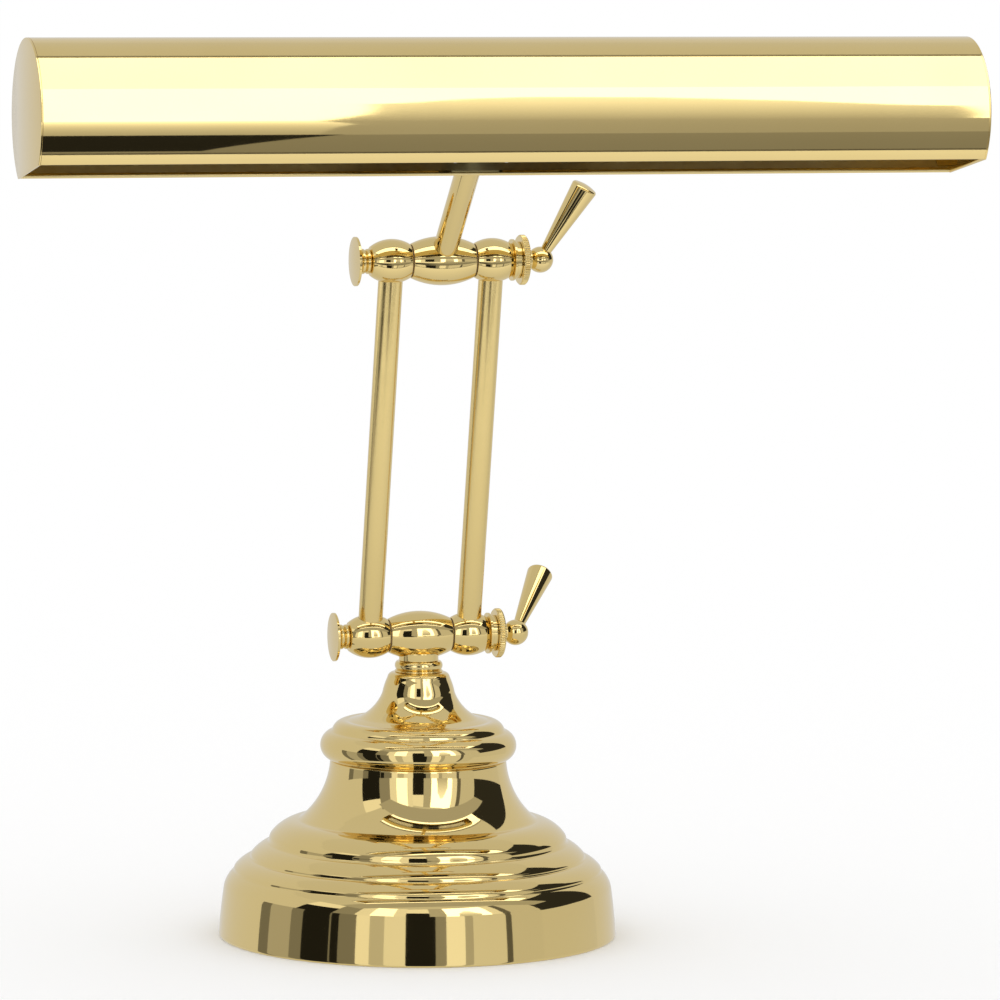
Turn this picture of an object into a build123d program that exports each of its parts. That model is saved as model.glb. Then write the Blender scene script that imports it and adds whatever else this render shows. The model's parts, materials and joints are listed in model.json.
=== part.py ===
from build123d import *
from math import asin, cos, degrees, pi, radians, sin, sqrt
import os

# Brass piano lamp: a weighted spun base, two parallel arms between two clamped knuckles, and a trough shade.
# Millimetres and degrees. Origin at the middle of the foot, +Z up, knuckle axes along X, front towards -Y.

# Fits that all pieces share
slip = 0.05  # radial clearance of a tube in its seat and of a spindle in its bore
face_gap = 0.1  # between two faces that turn against each other
free_gap = 0.4  # between neighbours that never touch
overrun = 1.0  # how far a cut runs past what it cuts

# Base shell: one spinning of stepped tiers; shares run from the waist out to the foot, and from the table up
base_radius = 75.8
waist_radius = 33.5
shell_height = 67.5
base_wall = 1.2
rim_lift = 0.5  # rim's height above the table
rim_round = 0.4  # bulge of the rolled rim
skirt_bulge_share = 0.007
tier_shares = (
    (0.939, 0.311, 0.028),
    (0.844, 0.391, 0.024),
    (0.672, 0.472, 0.016),
    (0.547, 0.538, 0.045),
    (0.276, 0.657, -0.064),
)  # radius and height where each tier starts, from the skirt's top up, and bulge of the stretch that follows
shell_hole_radius = 12.0

# Base cap: ring, upper bead, cove and bell; shares run from the bell's flat out to the waist, and up the cap
cap_height = 33.5
bell_flat_radius = 9.6
cap_shares = (
    (1.000, 0.000, 0.173),
    (0.975, 0.331, 0.063),
    (0.723, 0.442, 0.000),
    (0.542, 0.478, -0.050),
    (0.176, 0.761, 0.008),
    (0.097, 0.937, 0.023),
    (0.000, 1.000, 0.000),
)

# Neck collar: a thin ring under a full bead
collar_foot_radius = 8.7
collar_foot_height = 0.8
collar_foot_bulge = 0.4
collar_bead_radius = 8.3
collar_bead_height = 3.4
collar_bead_bulge = 0.8

# Pieces inside the base
felt_thickness = 2.0
plate_thickness = 1.0
rim_gap = 0.4  # between the skirt's inside and the plate
weight_recess_radius = 52.0
weight_recess_depth = 12.0
nipple_radius = 4.8
nipple_bore = 3.0
nipple_tail = 1.5  # thread that shows under the nut
nipple_web = 5.0  # from the end of the nipple's seat up to the knuckle's axis
washer_radius = 14.0
washer_thickness = 1.5
nut_radius = 9.0  # across the hexagon's corners, as a radius
nut_thickness = 5.0
bushing_height = 11.5
bushing_radius = 4.9
bushing_bore = 3.5
bushing_flange_radius = 6.5
bushing_flange_thickness = 1.6
bushing_barb_radius = 5.5
bushing_barb_thickness = 1.2
bushing_tail = 2.0

# Knuckles: barrel between two balls on one clamp spindle
neck_radius = 7.5
neck_length = 9.8  # collar's top to the knuckle's axis
barrel_half_length = 12.0
barrel_crown = 2.75
ball_radius = 8.3
ball_crown = 1.85
friction_thickness = 0.4
left_ball_reach = 8.3  # from the arm's axis to the ball's outer end
right_ball_reach = 7.4
friction_radius = 6.1
spindle_radius = 2.5
seat_web = 4.0  # from the knuckle's axis to the end of a tube in its seat

# Clamp hardware on the left: two beads and a thin domed disc
bead_groove_radius = 3.9
bead_bulge = 0.8
bead_length = 1.95
bead_count = 2
disc_radius = 9.2
disc_back_radius = 4.4
disc_back_depth = 1.2
disc_rim = 0.5
disc_dome = 0.9

# Clamp hardware on the right: flange ring, knurled nut, lever
flange_radius = 7.8
flange_thickness = 0.9
flange_hub_radius = 6.9
flange_hub_length = 2.0
knurl_radius = 9.4
knurl_depth = 0.35
knurl_thickness = 2.5
knurl_count = 60
knurl_land = 0.35  # plain chamfer at each face of the nut
lever_boss_radius = 3.2
lever_boss_length = 1.4
lever_ball_radius = 4.9
lever_flat_radius = 2.4  # flat on the ball where the handle sits
lever_spigot_radius = 1.2
lever_spigot_length = 1.4
lever_root_radius = 2.1
lever_tip_radius = 5.0
lever_length = 33.2  # ball's centre to the tip
lever_edge = 1.0  # rounded edge at the tip
lever_edge_bulge = 0.25
lever_dome = 0.6
lever_splay = 28.0  # outward lean of the handle
lower_lever_heading = -57.5  # handle's turn from the arms' direction, forwards positive
upper_lever_heading = 2.5

# Arms and stem
arm_length = 147.9  # axis to axis
arm_offset = 19.3
arm_lean = 12.4
arm_radius = 4.6
arm_wall = 1.0
stem_radius = 4.6
stem_tilt = 46.6
stem_reach = 90.8  # upper axis to the shade's axis, along the stem

# Shade: trough rolled from sheet, with flat caps
shade_length = 352.0
shade_radius = 28.1
shade_wall = 0.8
shade_offset = 5.2  # shade's middle to the right of the stem
shade_drop = 7.0  # shade's axis below the stem's line
mouth_half_angle = 45.0
hem_depth = 1.2
hem_thickness = 0.6
cap_wall = 0.8
cap_flange_depth = 4.0
cap_flange_thickness = 0.6

# Where the stem carries the shade
saddle_radius = 4.8
seat_margin = 6.0  # between the inner saddle and the hem
saddle_lip = 1.2  # outer saddle stands this far past the stem
saddle_height = 2.4
inner_saddle_height = 1.4
stem_nipple_radius = 3.2
stem_nipple_bore = 2.0
stem_nipple_hold = 10.0  # length held in the stem
stem_nipple_tail = 0.6
stem_nut_radius = 5.6
stem_nut_thickness = 3.0

# Sockets and bulbs
yoke_thickness = 1.2
yoke_half_gap = 9.0
yoke_past_axis = 5.0
yoke_margin = 3.0  # ear's edge below the socket screw's axis
socket_screw_radius = 1.5
socket_screw_head_radius = 2.8
socket_screw_head = 1.8
socket_screw_hold = 5.0
socket_radius = 16.6
socket_shoulder_radius = 14.5
socket_shoulder = 5.0
socket_back = 7.0
socket_wall = 2.2
socket_depth = 26.0
contact_wall = 0.6
contact_button_radius = 4.0
contact_button_height = 1.0
bulb_base_gap = 0.4  # thread room between the bulb's base and its contact shell
bulb_base_length = 25.0
bulb_base_wall = 0.5
bulb_tip_radius = 5.0
bulb_tip_length = 3.0
bulb_radius = 15.9
bulb_wall = 0.8
bulb_neck_length = 11.0
bulb_neck_bulge = 0.5
bulb_dome = 12.0
bulb_end_gap = 14.0  # bulb's tip to the nearer end cap

# Rotary switch on the shade's back
switch_lean = 60.0  # from the crown towards the back
switch_body_radius = 7.4
switch_body_length = 13.0
switch_bushing_radius = 4.5
switch_bushing_stick = 5.5
switch_ring_radius = 7.0
switch_ring_thickness = 2.5
switch_shaft_radius = 1.6
switch_shaft_hold = 6.0
knob_radius = 6.0
knob_waist_radius = 4.2
knob_waist_length = 2.5
knob_length = 12.5
knob_dome = 0.7
knob_flute_radius = 0.9
knob_flute_count = 14


def between(low, high, share):
    return low + share * (high - low)


def arc_or_line(start, end, bulge):
    """Stretch of an outline: straight, or an arc off its chord, to the right when bulge is positive."""
    if bulge == 0:
        return Line(start, end)
    run = Vector(*end) - Vector(*start)
    middle = (Vector(*start) + Vector(*end)) / 2
    side = Vector(run.Y, -run.X).normalized()
    return ThreePointArc(start, middle + side * bulge, end)


def dome_bulge(radius, height):
    """Bulge of the arc from a dome's edge to its top that keeps the dome part of a sphere."""
    sphere = (radius**2 + height**2) / (2 * height)
    return sphere - sqrt(sphere**2 - (radius**2 + height**2) / 4)


def face_through(corners):
    """Closed face through corners of two coordinates, a third being the bulge of the stretch that follows."""
    edges = []
    for here, following in zip(corners, corners[1:] + corners[:1]):
        bulge = here[2] if len(here) > 2 else 0
        edges.append(arc_or_line(here[:2], following[:2], bulge))
    return make_face(edges)


def spun(corners):
    """Solid turned about Z, from corners of radius and height."""
    return revolve(Plane.XZ * face_through(corners), Axis.Z)


def turned(corners):
    """Solid turned about X, from corners of place along X and radius."""
    return revolve(face_through(corners), Axis.X)


def rod(radius, start, end):
    """Round bar along Z."""
    return Pos(0, 0, start) * Cylinder(radius, end - start, align=(Align.CENTER, Align.CENTER, Align.MIN))


def tube(radius, bore, start, end):
    return rod(radius, start, end) - rod(bore, start - overrun, end + overrun)


def cross_rod(radius, start, end):
    """Round bar along X."""
    return Rot(0, 90, 0) * rod(radius, start, end)


def hexagon(radius, bore, start, end):
    return Pos(0, 0, start) * extrude(RegularPolygon(radius, 6), end - start) - rod(bore, start, end)


def walled(outer, wall):
    """Inner line of a spun wall, from the last outer corner back to the first."""
    inner = [(radius - wall, height - wall) for radius, height, bulge in outer]
    bulges = [-bulge for radius, height, bulge in outer]
    line = [inner[-1] + (bulges[-2],)]
    for step in range(len(outer) - 2, 0, -1):
        line.append(inner[step] + (bulges[step - 1],))
    return line


nodes = {}

# Base shell
base_span = base_radius - waist_radius


def base_corner(radius_share, height_share, bulge_share):
    radius = between(waist_radius, base_radius, radius_share)
    height = between(rim_lift, shell_height, height_share)
    return (radius, height, bulge_share * base_span)


skirt_bulge = skirt_bulge_share * base_span
tiers = [base_corner(*shares) for shares in tier_shares]
skirt_top = tiers[0]
shell_outer = [(base_radius, rim_lift, skirt_bulge)] + tiers + [(waist_radius, shell_height, 0)]
shell_hole = [(shell_hole_radius, shell_height), (shell_hole_radius, shell_height - base_wall)]
rim_inside = (base_radius - base_wall, rim_lift, rim_round)
base_shell = spun(shell_outer + shell_hole + walled(shell_outer, base_wall) + [rim_inside])


def skirt_radius(height):
    """Outer radius of the skirt at a height, taken straight from the foot to the skirt's top."""
    return between(base_radius, skirt_top[0], (height - rim_lift) / (skirt_top[1] - rim_lift))


bushing_cut = rod(bushing_radius + slip, skirt_top[0] - base_wall - overrun, base_radius + overrun)
nodes["base_shell"] = base_shell - Pos(0, 0, bushing_height) * Rot(-90, 0, 0) * bushing_cut

# Felt, plate and weight
plate_top = felt_thickness + plate_thickness
plate_radius = skirt_radius(plate_top) - base_wall - rim_gap
nodes["felt_pad"] = rod(plate_radius, 0, felt_thickness)
nodes["base_plate"] = rod(plate_radius, felt_thickness, plate_top)
weight_inset = base_wall + free_gap
weight_shoulder = (tiers[1][0] - weight_inset, tiers[1][1] - weight_inset)
weight_top = (tiers[2][0] - weight_inset, tiers[2][1] - weight_inset)
weight_roof = plate_top + weight_recess_depth
nipple_hole = nipple_radius + slip
nodes["base_weight"] = spun([
    (weight_recess_radius, plate_top),
    (weight_shoulder[0], plate_top),
    weight_shoulder,
    weight_top,
    (nipple_hole, weight_top[1]),
    (nipple_hole, weight_roof),
    (weight_recess_radius, weight_roof),
])

# Cord bushing, snapped into the back of the skirt
bushing_face = skirt_radius(bushing_height - bushing_flange_radius) + skirt_bulge + slip
bushing_barb = skirt_radius(bushing_height + bushing_barb_radius) - base_wall - free_gap
bushing_end = bushing_barb - bushing_barb_thickness - bushing_tail
bushing_mouth = bushing_face + bushing_flange_thickness
bushing = rod(bushing_radius, bushing_end, bushing_mouth)
bushing += rod(bushing_flange_radius, bushing_face, bushing_mouth)
bushing += rod(bushing_barb_radius, bushing_barb - bushing_barb_thickness, bushing_barb)
bushing -= rod(bushing_bore, bushing_end - overrun, bushing_mouth + overrun)
nodes["cord_bushing"] = Pos(0, 0, bushing_height) * Rot(-90, 0, 0) * bushing

# Base cap
neck_height = shell_height + cap_height
cap_span = waist_radius - bell_flat_radius
cap_outer = []
for radius_share, height_share, bulge_share in cap_shares:
    cap_radius = between(bell_flat_radius, waist_radius, radius_share)
    cap_outer.append((cap_radius, between(shell_height, neck_height, height_share), bulge_share * cap_span))
cap_hole = [(nipple_hole, neck_height), (nipple_hole, neck_height - base_wall)]
cap_foot = (waist_radius - base_wall, shell_height)
nodes["base_cap"] = spun(cap_outer + cap_hole + walled(cap_outer, base_wall) + [cap_foot])

# Neck collar
collar_step = neck_height + collar_foot_height
collar_top = collar_step + collar_bead_height
nodes["neck_collar"] = spun([
    (nipple_hole, neck_height),
    (collar_foot_radius, neck_height, collar_foot_bulge),
    (collar_foot_radius, collar_step),
    (collar_bead_radius, collar_step, collar_bead_bulge),
    (collar_bead_radius, collar_top),
    (nipple_hole, collar_top),
])

# Threaded centre nipple with its washer and nut, which draw the base together
knuckle_height = collar_top + neck_length
nipple_end = knuckle_height - nipple_web
washer_face = weight_roof - washer_thickness
nut_face = washer_face - nut_thickness
nodes["centre_nipple"] = tube(nipple_radius, nipple_bore, nut_face - nipple_tail, nipple_end)
nodes["nipple_washer"] = tube(washer_radius, nipple_hole, washer_face, weight_roof)
nodes["nipple_nut"] = hexagon(nut_radius, nipple_hole, nut_face, washer_face)

# Frames: the arms' Z runs from the lower axis to the upper one, the head's Z runs up the stem
arm_frame = Pos(0, 0, knuckle_height) * Rot(arm_lean, 0, 0)
lower_frame = Pos(0, 0, knuckle_height)
upper_in_arms = Pos(0, 0, arm_length)
head_frame = arm_frame * upper_in_arms * Rot(stem_tilt - arm_lean, 0, 0)

# Barrels with their friction washers
ball_face_radius = ball_radius - ball_crown
barrel_radius = ball_face_radius + barrel_crown
spindle_bore = spindle_radius + slip
barrel = turned([
    (-barrel_half_length, 0),
    (barrel_half_length, 0),
    (barrel_half_length, ball_face_radius, barrel_crown),
    (-barrel_half_length, ball_face_radius),
])
barrel_bore = cross_rod(spindle_bore, -barrel_half_length - overrun, barrel_half_length + overrun)
neck = rod(neck_radius, collar_top - knuckle_height, 0)
nipple_seat = rod(nipple_hole, collar_top - knuckle_height - overrun, nipple_end - knuckle_height)
nodes["lower_barrel"] = lower_frame * (barrel + neck - nipple_seat - barrel_bore)
stem_seat = rod(stem_radius + slip, seat_web, barrel_radius + overrun)
nodes["upper_barrel"] = head_frame * (barrel - stem_seat - barrel_bore)
friction_end = barrel_half_length + friction_thickness
friction_washer = cross_rod(friction_radius, barrel_half_length, friction_end)
friction_washer -= cross_rod(spindle_bore, barrel_half_length - overrun, friction_end + overrun)
friction_pair = Compound(children=[friction_washer, mirror(friction_washer, Plane.YZ)])
nodes["lower_friction_washers"] = lower_frame * friction_pair
nodes["upper_friction_washers"] = head_frame * friction_pair

# Balls that clasp the arms
ball_half = arm_offset - friction_end - face_gap
crown_radius = (ball_half**2 + ball_crown**2) / (2 * ball_crown)
arm_seat = rod(arm_radius + slip, seat_web, ball_radius + overrun)


def ball_radius_at(reach):
    return ball_radius - crown_radius + sqrt(crown_radius**2 - reach**2)


def clasp_ball(reach):
    """Ball on the right arm, bored for the spindle, with its middle on the arm's axis."""
    body = turned([
        (-ball_half, 0),
        (reach, 0),
        (reach, ball_radius_at(reach), ball_bulge(reach)),
        (-ball_half, ball_face_radius),
    ])
    return body - cross_rod(spindle_bore, -ball_half - overrun, reach + overrun)


def ball_bulge(reach):
    """Height of the ball's arc over the chord between its two ends."""
    chord = sqrt((reach + ball_half) ** 2 + (ball_radius_at(reach) - ball_face_radius) ** 2)
    return crown_radius - sqrt(crown_radius**2 - (chord / 2) ** 2)


right_ball = clasp_ball(right_ball_reach)
left_ball = mirror(clasp_ball(left_ball_reach), Plane.YZ)
down = Rot(180, 0, 0)
for side, shape, place in (("left", left_ball, -arm_offset), ("right", right_ball, arm_offset)):
    at_arm = Pos(place, 0, 0)
    nodes[f"lower_{side}_ball"] = arm_frame * at_arm * (shape - arm_seat)
    nodes[f"upper_{side}_ball"] = arm_frame * upper_in_arms * at_arm * (shape - down * arm_seat)
    arm = tube(arm_radius, arm_radius - arm_wall, seat_web, arm_length - seat_web)
    nodes[f"{side}_arm"] = arm_frame * at_arm * arm

# Clamp hardware along X, the same on both knuckles
bead_start = arm_offset + left_ball_reach
disc_start = bead_start + bead_count * bead_length
disc_edge = disc_start + disc_back_depth
disc_end = disc_edge + disc_rim + disc_dome
flange_start = arm_offset + right_ball_reach
flange_step = flange_start + flange_thickness
flange_end = flange_step + flange_hub_length
knurl_start = flange_end + face_gap
knurl_end = knurl_start + knurl_thickness
boss_start = knurl_end + face_gap
lever_centre = boss_start + lever_boss_length + lever_ball_radius * cos(radians(lever_splay))
spindle_end = lever_centre - spindle_radius / 2

bead_ends = [-bead_start - step * bead_length for step in range(bead_count)]
bead_corners = [(bead_end, bead_groove_radius, bead_bulge) for bead_end in bead_ends]
beaded_collar = turned(
    [(-bead_start, spindle_bore)]
    + bead_corners
    + [(-disc_start, bead_groove_radius), (-disc_start, spindle_bore)]
)
clamp_screw = turned([
    (spindle_end, 0),
    (spindle_end, spindle_radius),
    (-disc_start, spindle_radius),
    (-disc_start, disc_back_radius),
    (-disc_edge, disc_radius),
    (-disc_edge - disc_rim, disc_radius, dome_bulge(disc_radius, disc_dome)),
    (-disc_end, 0),
])
flange_ring = turned([
    (flange_start, spindle_bore),
    (flange_start, flange_radius),
    (flange_step, flange_radius),
    (flange_step, flange_hub_radius),
    (flange_end, flange_hub_radius),
    (flange_end, spindle_bore),
])

# Knurled nut: straight teeth all round, chamfered at both faces
tooth_points = []
for tooth in range(2 * knurl_count):
    tooth_radius = knurl_radius - knurl_depth * (tooth % 2)
    tooth_turn = pi * tooth / knurl_count
    tooth_points.append((tooth_radius * cos(tooth_turn), tooth_radius * sin(tooth_turn)))
knurl_blank = extrude(make_face(Polyline(*tooth_points, close=True)), knurl_thickness)
knurl_chamfer = turned([
    (knurl_start, spindle_bore),
    (knurl_start, knurl_radius - knurl_depth - knurl_land),
    (knurl_start + knurl_depth + knurl_land, knurl_radius),
    (knurl_end - knurl_depth - knurl_land, knurl_radius),
    (knurl_end, knurl_radius - knurl_depth - knurl_land),
    (knurl_end, spindle_bore),
])
knurled_nut = (Pos(knurl_start, 0, 0) * Rot(0, 90, 0) * knurl_blank) & knurl_chamfer

# Lever: a ball on the spindle, and a tapered handle that splays outwards
lever_frame = Pos(lever_centre, 0, 0) * Rot(0, lever_splay, 0)
lever_seat = sqrt(lever_ball_radius**2 - lever_flat_radius**2)
lever_ball = Pos(lever_centre, 0, 0) * Sphere(lever_ball_radius)
lever_ball += cross_rod(lever_boss_radius, boss_start, lever_centre)
lever_ball -= cross_rod(spindle_bore, boss_start - overrun, spindle_end + face_gap)
lever_ball -= lever_frame * rod(lever_flat_radius + overrun, lever_seat, lever_ball_radius + overrun)
spigot_end = lever_seat - lever_spigot_length
lever_ball -= lever_frame * rod(lever_spigot_radius + slip, spigot_end, lever_ball_radius)
handle_edge = lever_length - lever_dome
lever_handle = lever_frame * spun([
    (0, spigot_end),
    (lever_spigot_radius, spigot_end),
    (lever_spigot_radius, lever_seat),
    (lever_root_radius, lever_seat),
    (lever_tip_radius, handle_edge - lever_edge, lever_edge_bulge),
    (lever_tip_radius - lever_edge, handle_edge, dome_bulge(lever_tip_radius - lever_edge, lever_dome)),
    (0, lever_length),
])

for level, place, heading in (
    ("lower", Pos(0, 0, 0), lower_lever_heading),
    ("upper", upper_in_arms, upper_lever_heading),
):
    at_knuckle = arm_frame * place
    nodes[f"{level}_clamp_screw"] = at_knuckle * clamp_screw
    nodes[f"{level}_beaded_collar"] = at_knuckle * beaded_collar
    nodes[f"{level}_flange_ring"] = at_knuckle * flange_ring
    nodes[f"{level}_knurled_nut"] = at_knuckle * knurled_nut
    nodes[f"{level}_lever_ball"] = at_knuckle * Rot(heading, 0, 0) * lever_ball
    nodes[f"{level}_lever_handle"] = at_knuckle * Rot(heading, 0, 0) * lever_handle

# Shade frame: Z up through the crown, the mouth square to it; the stem's seat lies just above the back hem
shade_inside = shade_radius - shade_wall
mouth_drop = shade_radius * cos(radians(mouth_half_angle))
hem_run = hem_depth / sin(radians(mouth_half_angle))
seat_arc = hem_run + seat_margin + saddle_radius
shade_roll = mouth_half_angle + degrees(seat_arc / shade_inside - asin(shade_drop / shade_inside))
shade_axis = Pos(0, -shade_drop, stem_reach)
shade_frame = head_frame * shade_axis * Rot(-shade_roll, 0, 0)
shade_left = shade_offset - shade_length / 2
shade_right = shade_offset + shade_length / 2


def above(height):
    """Everything in a shade section that lies higher than the given height."""
    return Pos(0, height + shade_radius) * Rectangle(2 * (shade_radius + overrun), 2 * shade_radius)


def along_shade(section, start, end):
    """Section drawn across the shade, drawn out along X."""
    return Pos(start, 0, 0) * extrude(Plane.YZ * section, end - start)


hem_ring = Circle(shade_inside) - Circle(shade_inside - hem_thickness) - above(hem_depth - mouth_drop)
shell_section = (Circle(shade_radius) - Circle(shade_inside) + hem_ring) & above(-mouth_drop)
shade_shell = shade_frame * along_shade(shell_section, shade_left + cap_wall, shade_right - cap_wall)
nipple_clear = stem_nipple_radius + slip
hole_depth = sqrt(shade_inside**2 - (shade_drop + nipple_clear) ** 2)
stem_hole = rod(nipple_clear, stem_reach - shade_radius - overrun, stem_reach - hole_depth + overrun)
switch_frame = shade_frame * Rot(-switch_lean, 0, 0)
switch_hole = rod(switch_bushing_radius + slip, shade_inside - overrun, shade_radius + overrun)
nodes["shade_shell"] = shade_shell - head_frame * stem_hole - switch_frame * switch_hole

# End caps, each with a flange that fits inside the shell
flange_outside = shade_inside - slip
cap_disc = Circle(shade_radius) & above(-mouth_drop)
cap_flange = Circle(flange_outside) - Circle(flange_outside - cap_flange_thickness)
cap_flange &= above(hem_depth + free_gap - mouth_drop)
left_inside = shade_left + cap_wall
right_inside = shade_right - cap_wall
left_cap = along_shade(cap_disc, shade_left, left_inside)
left_cap += along_shade(cap_flange, left_inside, left_inside + cap_flange_depth)
right_cap = along_shade(cap_disc, right_inside, shade_right)
right_cap += along_shade(cap_flange, right_inside - cap_flange_depth, right_inside)
nodes["left_end_cap"] = shade_frame * left_cap
nodes["right_end_cap"] = shade_frame * right_cap

# Stem, and the nipple, saddles and nut that clamp the shade and the yoke on its end
saddle_foot = stem_reach - shade_radius - saddle_height
saddle_depth = sqrt(shade_inside**2 - (shade_drop + saddle_radius) ** 2)
yoke_face = stem_reach - saddle_depth + inner_saddle_height
yoke_back = yoke_face + yoke_thickness
stem_nut_end = yoke_back + stem_nut_thickness
shade_outside = shade_axis * cross_rod(shade_radius + slip, -shade_length, shade_length)
shade_hollow = shade_axis * cross_rod(shade_inside - slip, -shade_length, shade_length)
stem_nipple_start = saddle_foot - stem_nipple_hold
nodes["stem"] = head_frame * tube(stem_radius, nipple_clear, seat_web, saddle_foot)
stem_saddle = tube(stem_radius + saddle_lip, nipple_clear, saddle_foot, stem_reach) - shade_outside
nodes["stem_saddle"] = head_frame * stem_saddle
saddle_washer = tube(saddle_radius, nipple_clear, saddle_foot, yoke_face) & shade_hollow
nodes["saddle_washer"] = head_frame * saddle_washer
stem_nipple = tube(stem_nipple_radius, stem_nipple_bore, stem_nipple_start, stem_nut_end + stem_nipple_tail)
nodes["stem_nipple"] = head_frame * stem_nipple
nodes["stem_nut"] = head_frame * hexagon(stem_nut_radius, nipple_clear, yoke_back, stem_nut_end)

# Socket yoke: a strap bent into a U, its two ears square to the shade's axis
yoke_end = yoke_half_gap + yoke_thickness
ear_rise = stem_reach + yoke_past_axis - yoke_face
ear_width = saddle_radius + shade_drop + yoke_margin
corner = (Align.MIN, Align.MAX, Align.MIN)
strap = Box(2 * yoke_end, 2 * saddle_radius, yoke_thickness, align=corner)
ear = Box(yoke_thickness, ear_width, ear_rise, align=corner)
socket_yoke = Pos(-yoke_end, saddle_radius, yoke_face) * strap
for ear_start in (-yoke_end, yoke_half_gap):
    socket_yoke += Pos(ear_start, saddle_radius, yoke_face) * ear
socket_yoke -= shade_axis * cross_rod(socket_screw_radius + slip, -yoke_end - overrun, yoke_end + overrun)
socket_yoke -= rod(nipple_clear, yoke_face - overrun, yoke_back + overrun)
nodes["socket_yoke"] = head_frame * socket_yoke

# Socket, contacts and bulb of the right side, along X from the yoke's ear
socket_start = yoke_end
socket_floor = socket_start + socket_back
socket_end = socket_floor + socket_depth
socket_inside = socket_radius - socket_wall
screw_hold_end = socket_start + socket_screw_hold
screw_clear = socket_screw_radius + slip
socket = turned([
    (screw_hold_end, 0),
    (screw_hold_end, screw_clear),
    (socket_start, screw_clear),
    (socket_start, socket_shoulder_radius),
    (socket_start + socket_shoulder, socket_shoulder_radius),
    (socket_start + socket_shoulder, socket_radius),
    (socket_end, socket_radius),
    (socket_end, socket_inside),
    (socket_floor, socket_inside),
    (socket_floor, 0),
])
socket_screw = cross_rod(socket_screw_radius, yoke_half_gap, screw_hold_end)
socket_screw += cross_rod(socket_screw_head_radius, yoke_half_gap - socket_screw_head, yoke_half_gap)
contact_outside = socket_inside - slip
contact_inside = contact_outside - contact_wall
contact_shell = cross_rod(contact_outside, socket_floor, socket_end)
contact_shell -= cross_rod(contact_inside, socket_floor - overrun, socket_end + overrun)
contact_top = socket_floor + contact_button_height
contact_button = cross_rod(contact_button_radius, socket_floor, contact_top)
contacts = Compound(children=[contact_shell, contact_button])

bulb_start = contact_top + slip
bulb_skirt = bulb_start + bulb_tip_length
bulb_seat = bulb_skirt + bulb_base_length
bulb_base_radius = contact_inside - bulb_base_gap
bulb_base = turned([
    (bulb_start, 0),
    (bulb_start, bulb_tip_radius),
    (bulb_skirt, bulb_base_radius),
    (bulb_seat, bulb_base_radius),
    (bulb_seat, bulb_base_radius - bulb_base_wall),
    (bulb_skirt, bulb_base_radius - bulb_base_wall),
    (bulb_skirt, 0),
])
bulb_body = bulb_seat + bulb_neck_length
bulb_tip = -left_inside - bulb_end_gap
bulb_shoulder = bulb_tip - bulb_dome
bulb_inside = bulb_radius - bulb_wall
bulb_glass = turned([
    (bulb_seat, bulb_base_radius - bulb_wall),
    (bulb_seat, bulb_base_radius, -bulb_neck_bulge),
    (bulb_body, bulb_radius),
    (bulb_shoulder, bulb_radius, -dome_bulge(bulb_radius, bulb_dome)),
    (bulb_tip, 0),
    (bulb_tip - bulb_wall, 0, dome_bulge(bulb_inside, bulb_dome - bulb_wall)),
    (bulb_shoulder, bulb_inside),
    (bulb_body, bulb_inside, bulb_neck_bulge),
])

lamp_pieces = {"socket": socket, "contacts": contacts, "bulb_base": bulb_base, "bulb_glass": bulb_glass}
for name, shape in lamp_pieces.items():
    nodes[f"right_{name}"] = shade_frame * shape
    nodes[f"left_{name}"] = shade_frame * mirror(shape, Plane.YZ)
nodes["socket_screws"] = shade_frame * Compound(children=[socket_screw, mirror(socket_screw, Plane.YZ)])

# Rotary switch: body inside, bushing through the back wall, ring nut and turn knob outside
switch_face = sqrt(shade_inside**2 - switch_body_radius**2) - free_gap
switch_top = shade_radius + switch_bushing_stick
shaft_end = switch_face - switch_shaft_hold
shaft_bore = rod(switch_shaft_radius + slip, shaft_end - face_gap, switch_top + overrun)
switch_body = rod(switch_body_radius, switch_face - switch_body_length, switch_face) - shaft_bore
nodes["switch_body"] = switch_frame * switch_body
nodes["switch_bushing"] = switch_frame * (rod(switch_bushing_radius, switch_face, switch_top) - shaft_bore)
ring_start = shade_radius + slip
ring_end = ring_start + switch_ring_thickness
ring_nut = tube(switch_ring_radius, switch_bushing_radius + slip, ring_start, ring_end)
nodes["switch_ring_nut"] = switch_frame * ring_nut
knob_start = switch_top + face_gap
knob_end = knob_start + knob_length
knob = spun([
    (0, shaft_end),
    (switch_shaft_radius, shaft_end),
    (switch_shaft_radius, knob_start),
    (knob_waist_radius, knob_start),
    (knob_waist_radius, knob_start + knob_waist_length, -knob_dome),
    (knob_radius, knob_start + 2 * knob_waist_length),
    (knob_radius, knob_end - knob_dome),
    (knob_radius - knob_dome, knob_end, dome_bulge(knob_radius - knob_dome, knob_dome)),
    (0, knob_end + knob_dome),
])
flute = rod(knob_flute_radius, knob_start + 2 * knob_waist_length, knob_end + knob_dome + overrun)
for turn in range(knob_flute_count):
    knob -= Rot(0, 0, 360 * turn / knob_flute_count) * Pos(knob_radius, 0, 0) * flute
nodes["switch_knob"] = switch_frame * knob

os.makedirs("parts", exist_ok=True)
for name, shape in nodes.items():
    export_step(shape, f"parts/{name}.step")
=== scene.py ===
import json
from math import atan, atan2, ceil, cos, pi, radians, sin, sqrt

import bpy
from mathutils import Matrix, Vector

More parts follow.
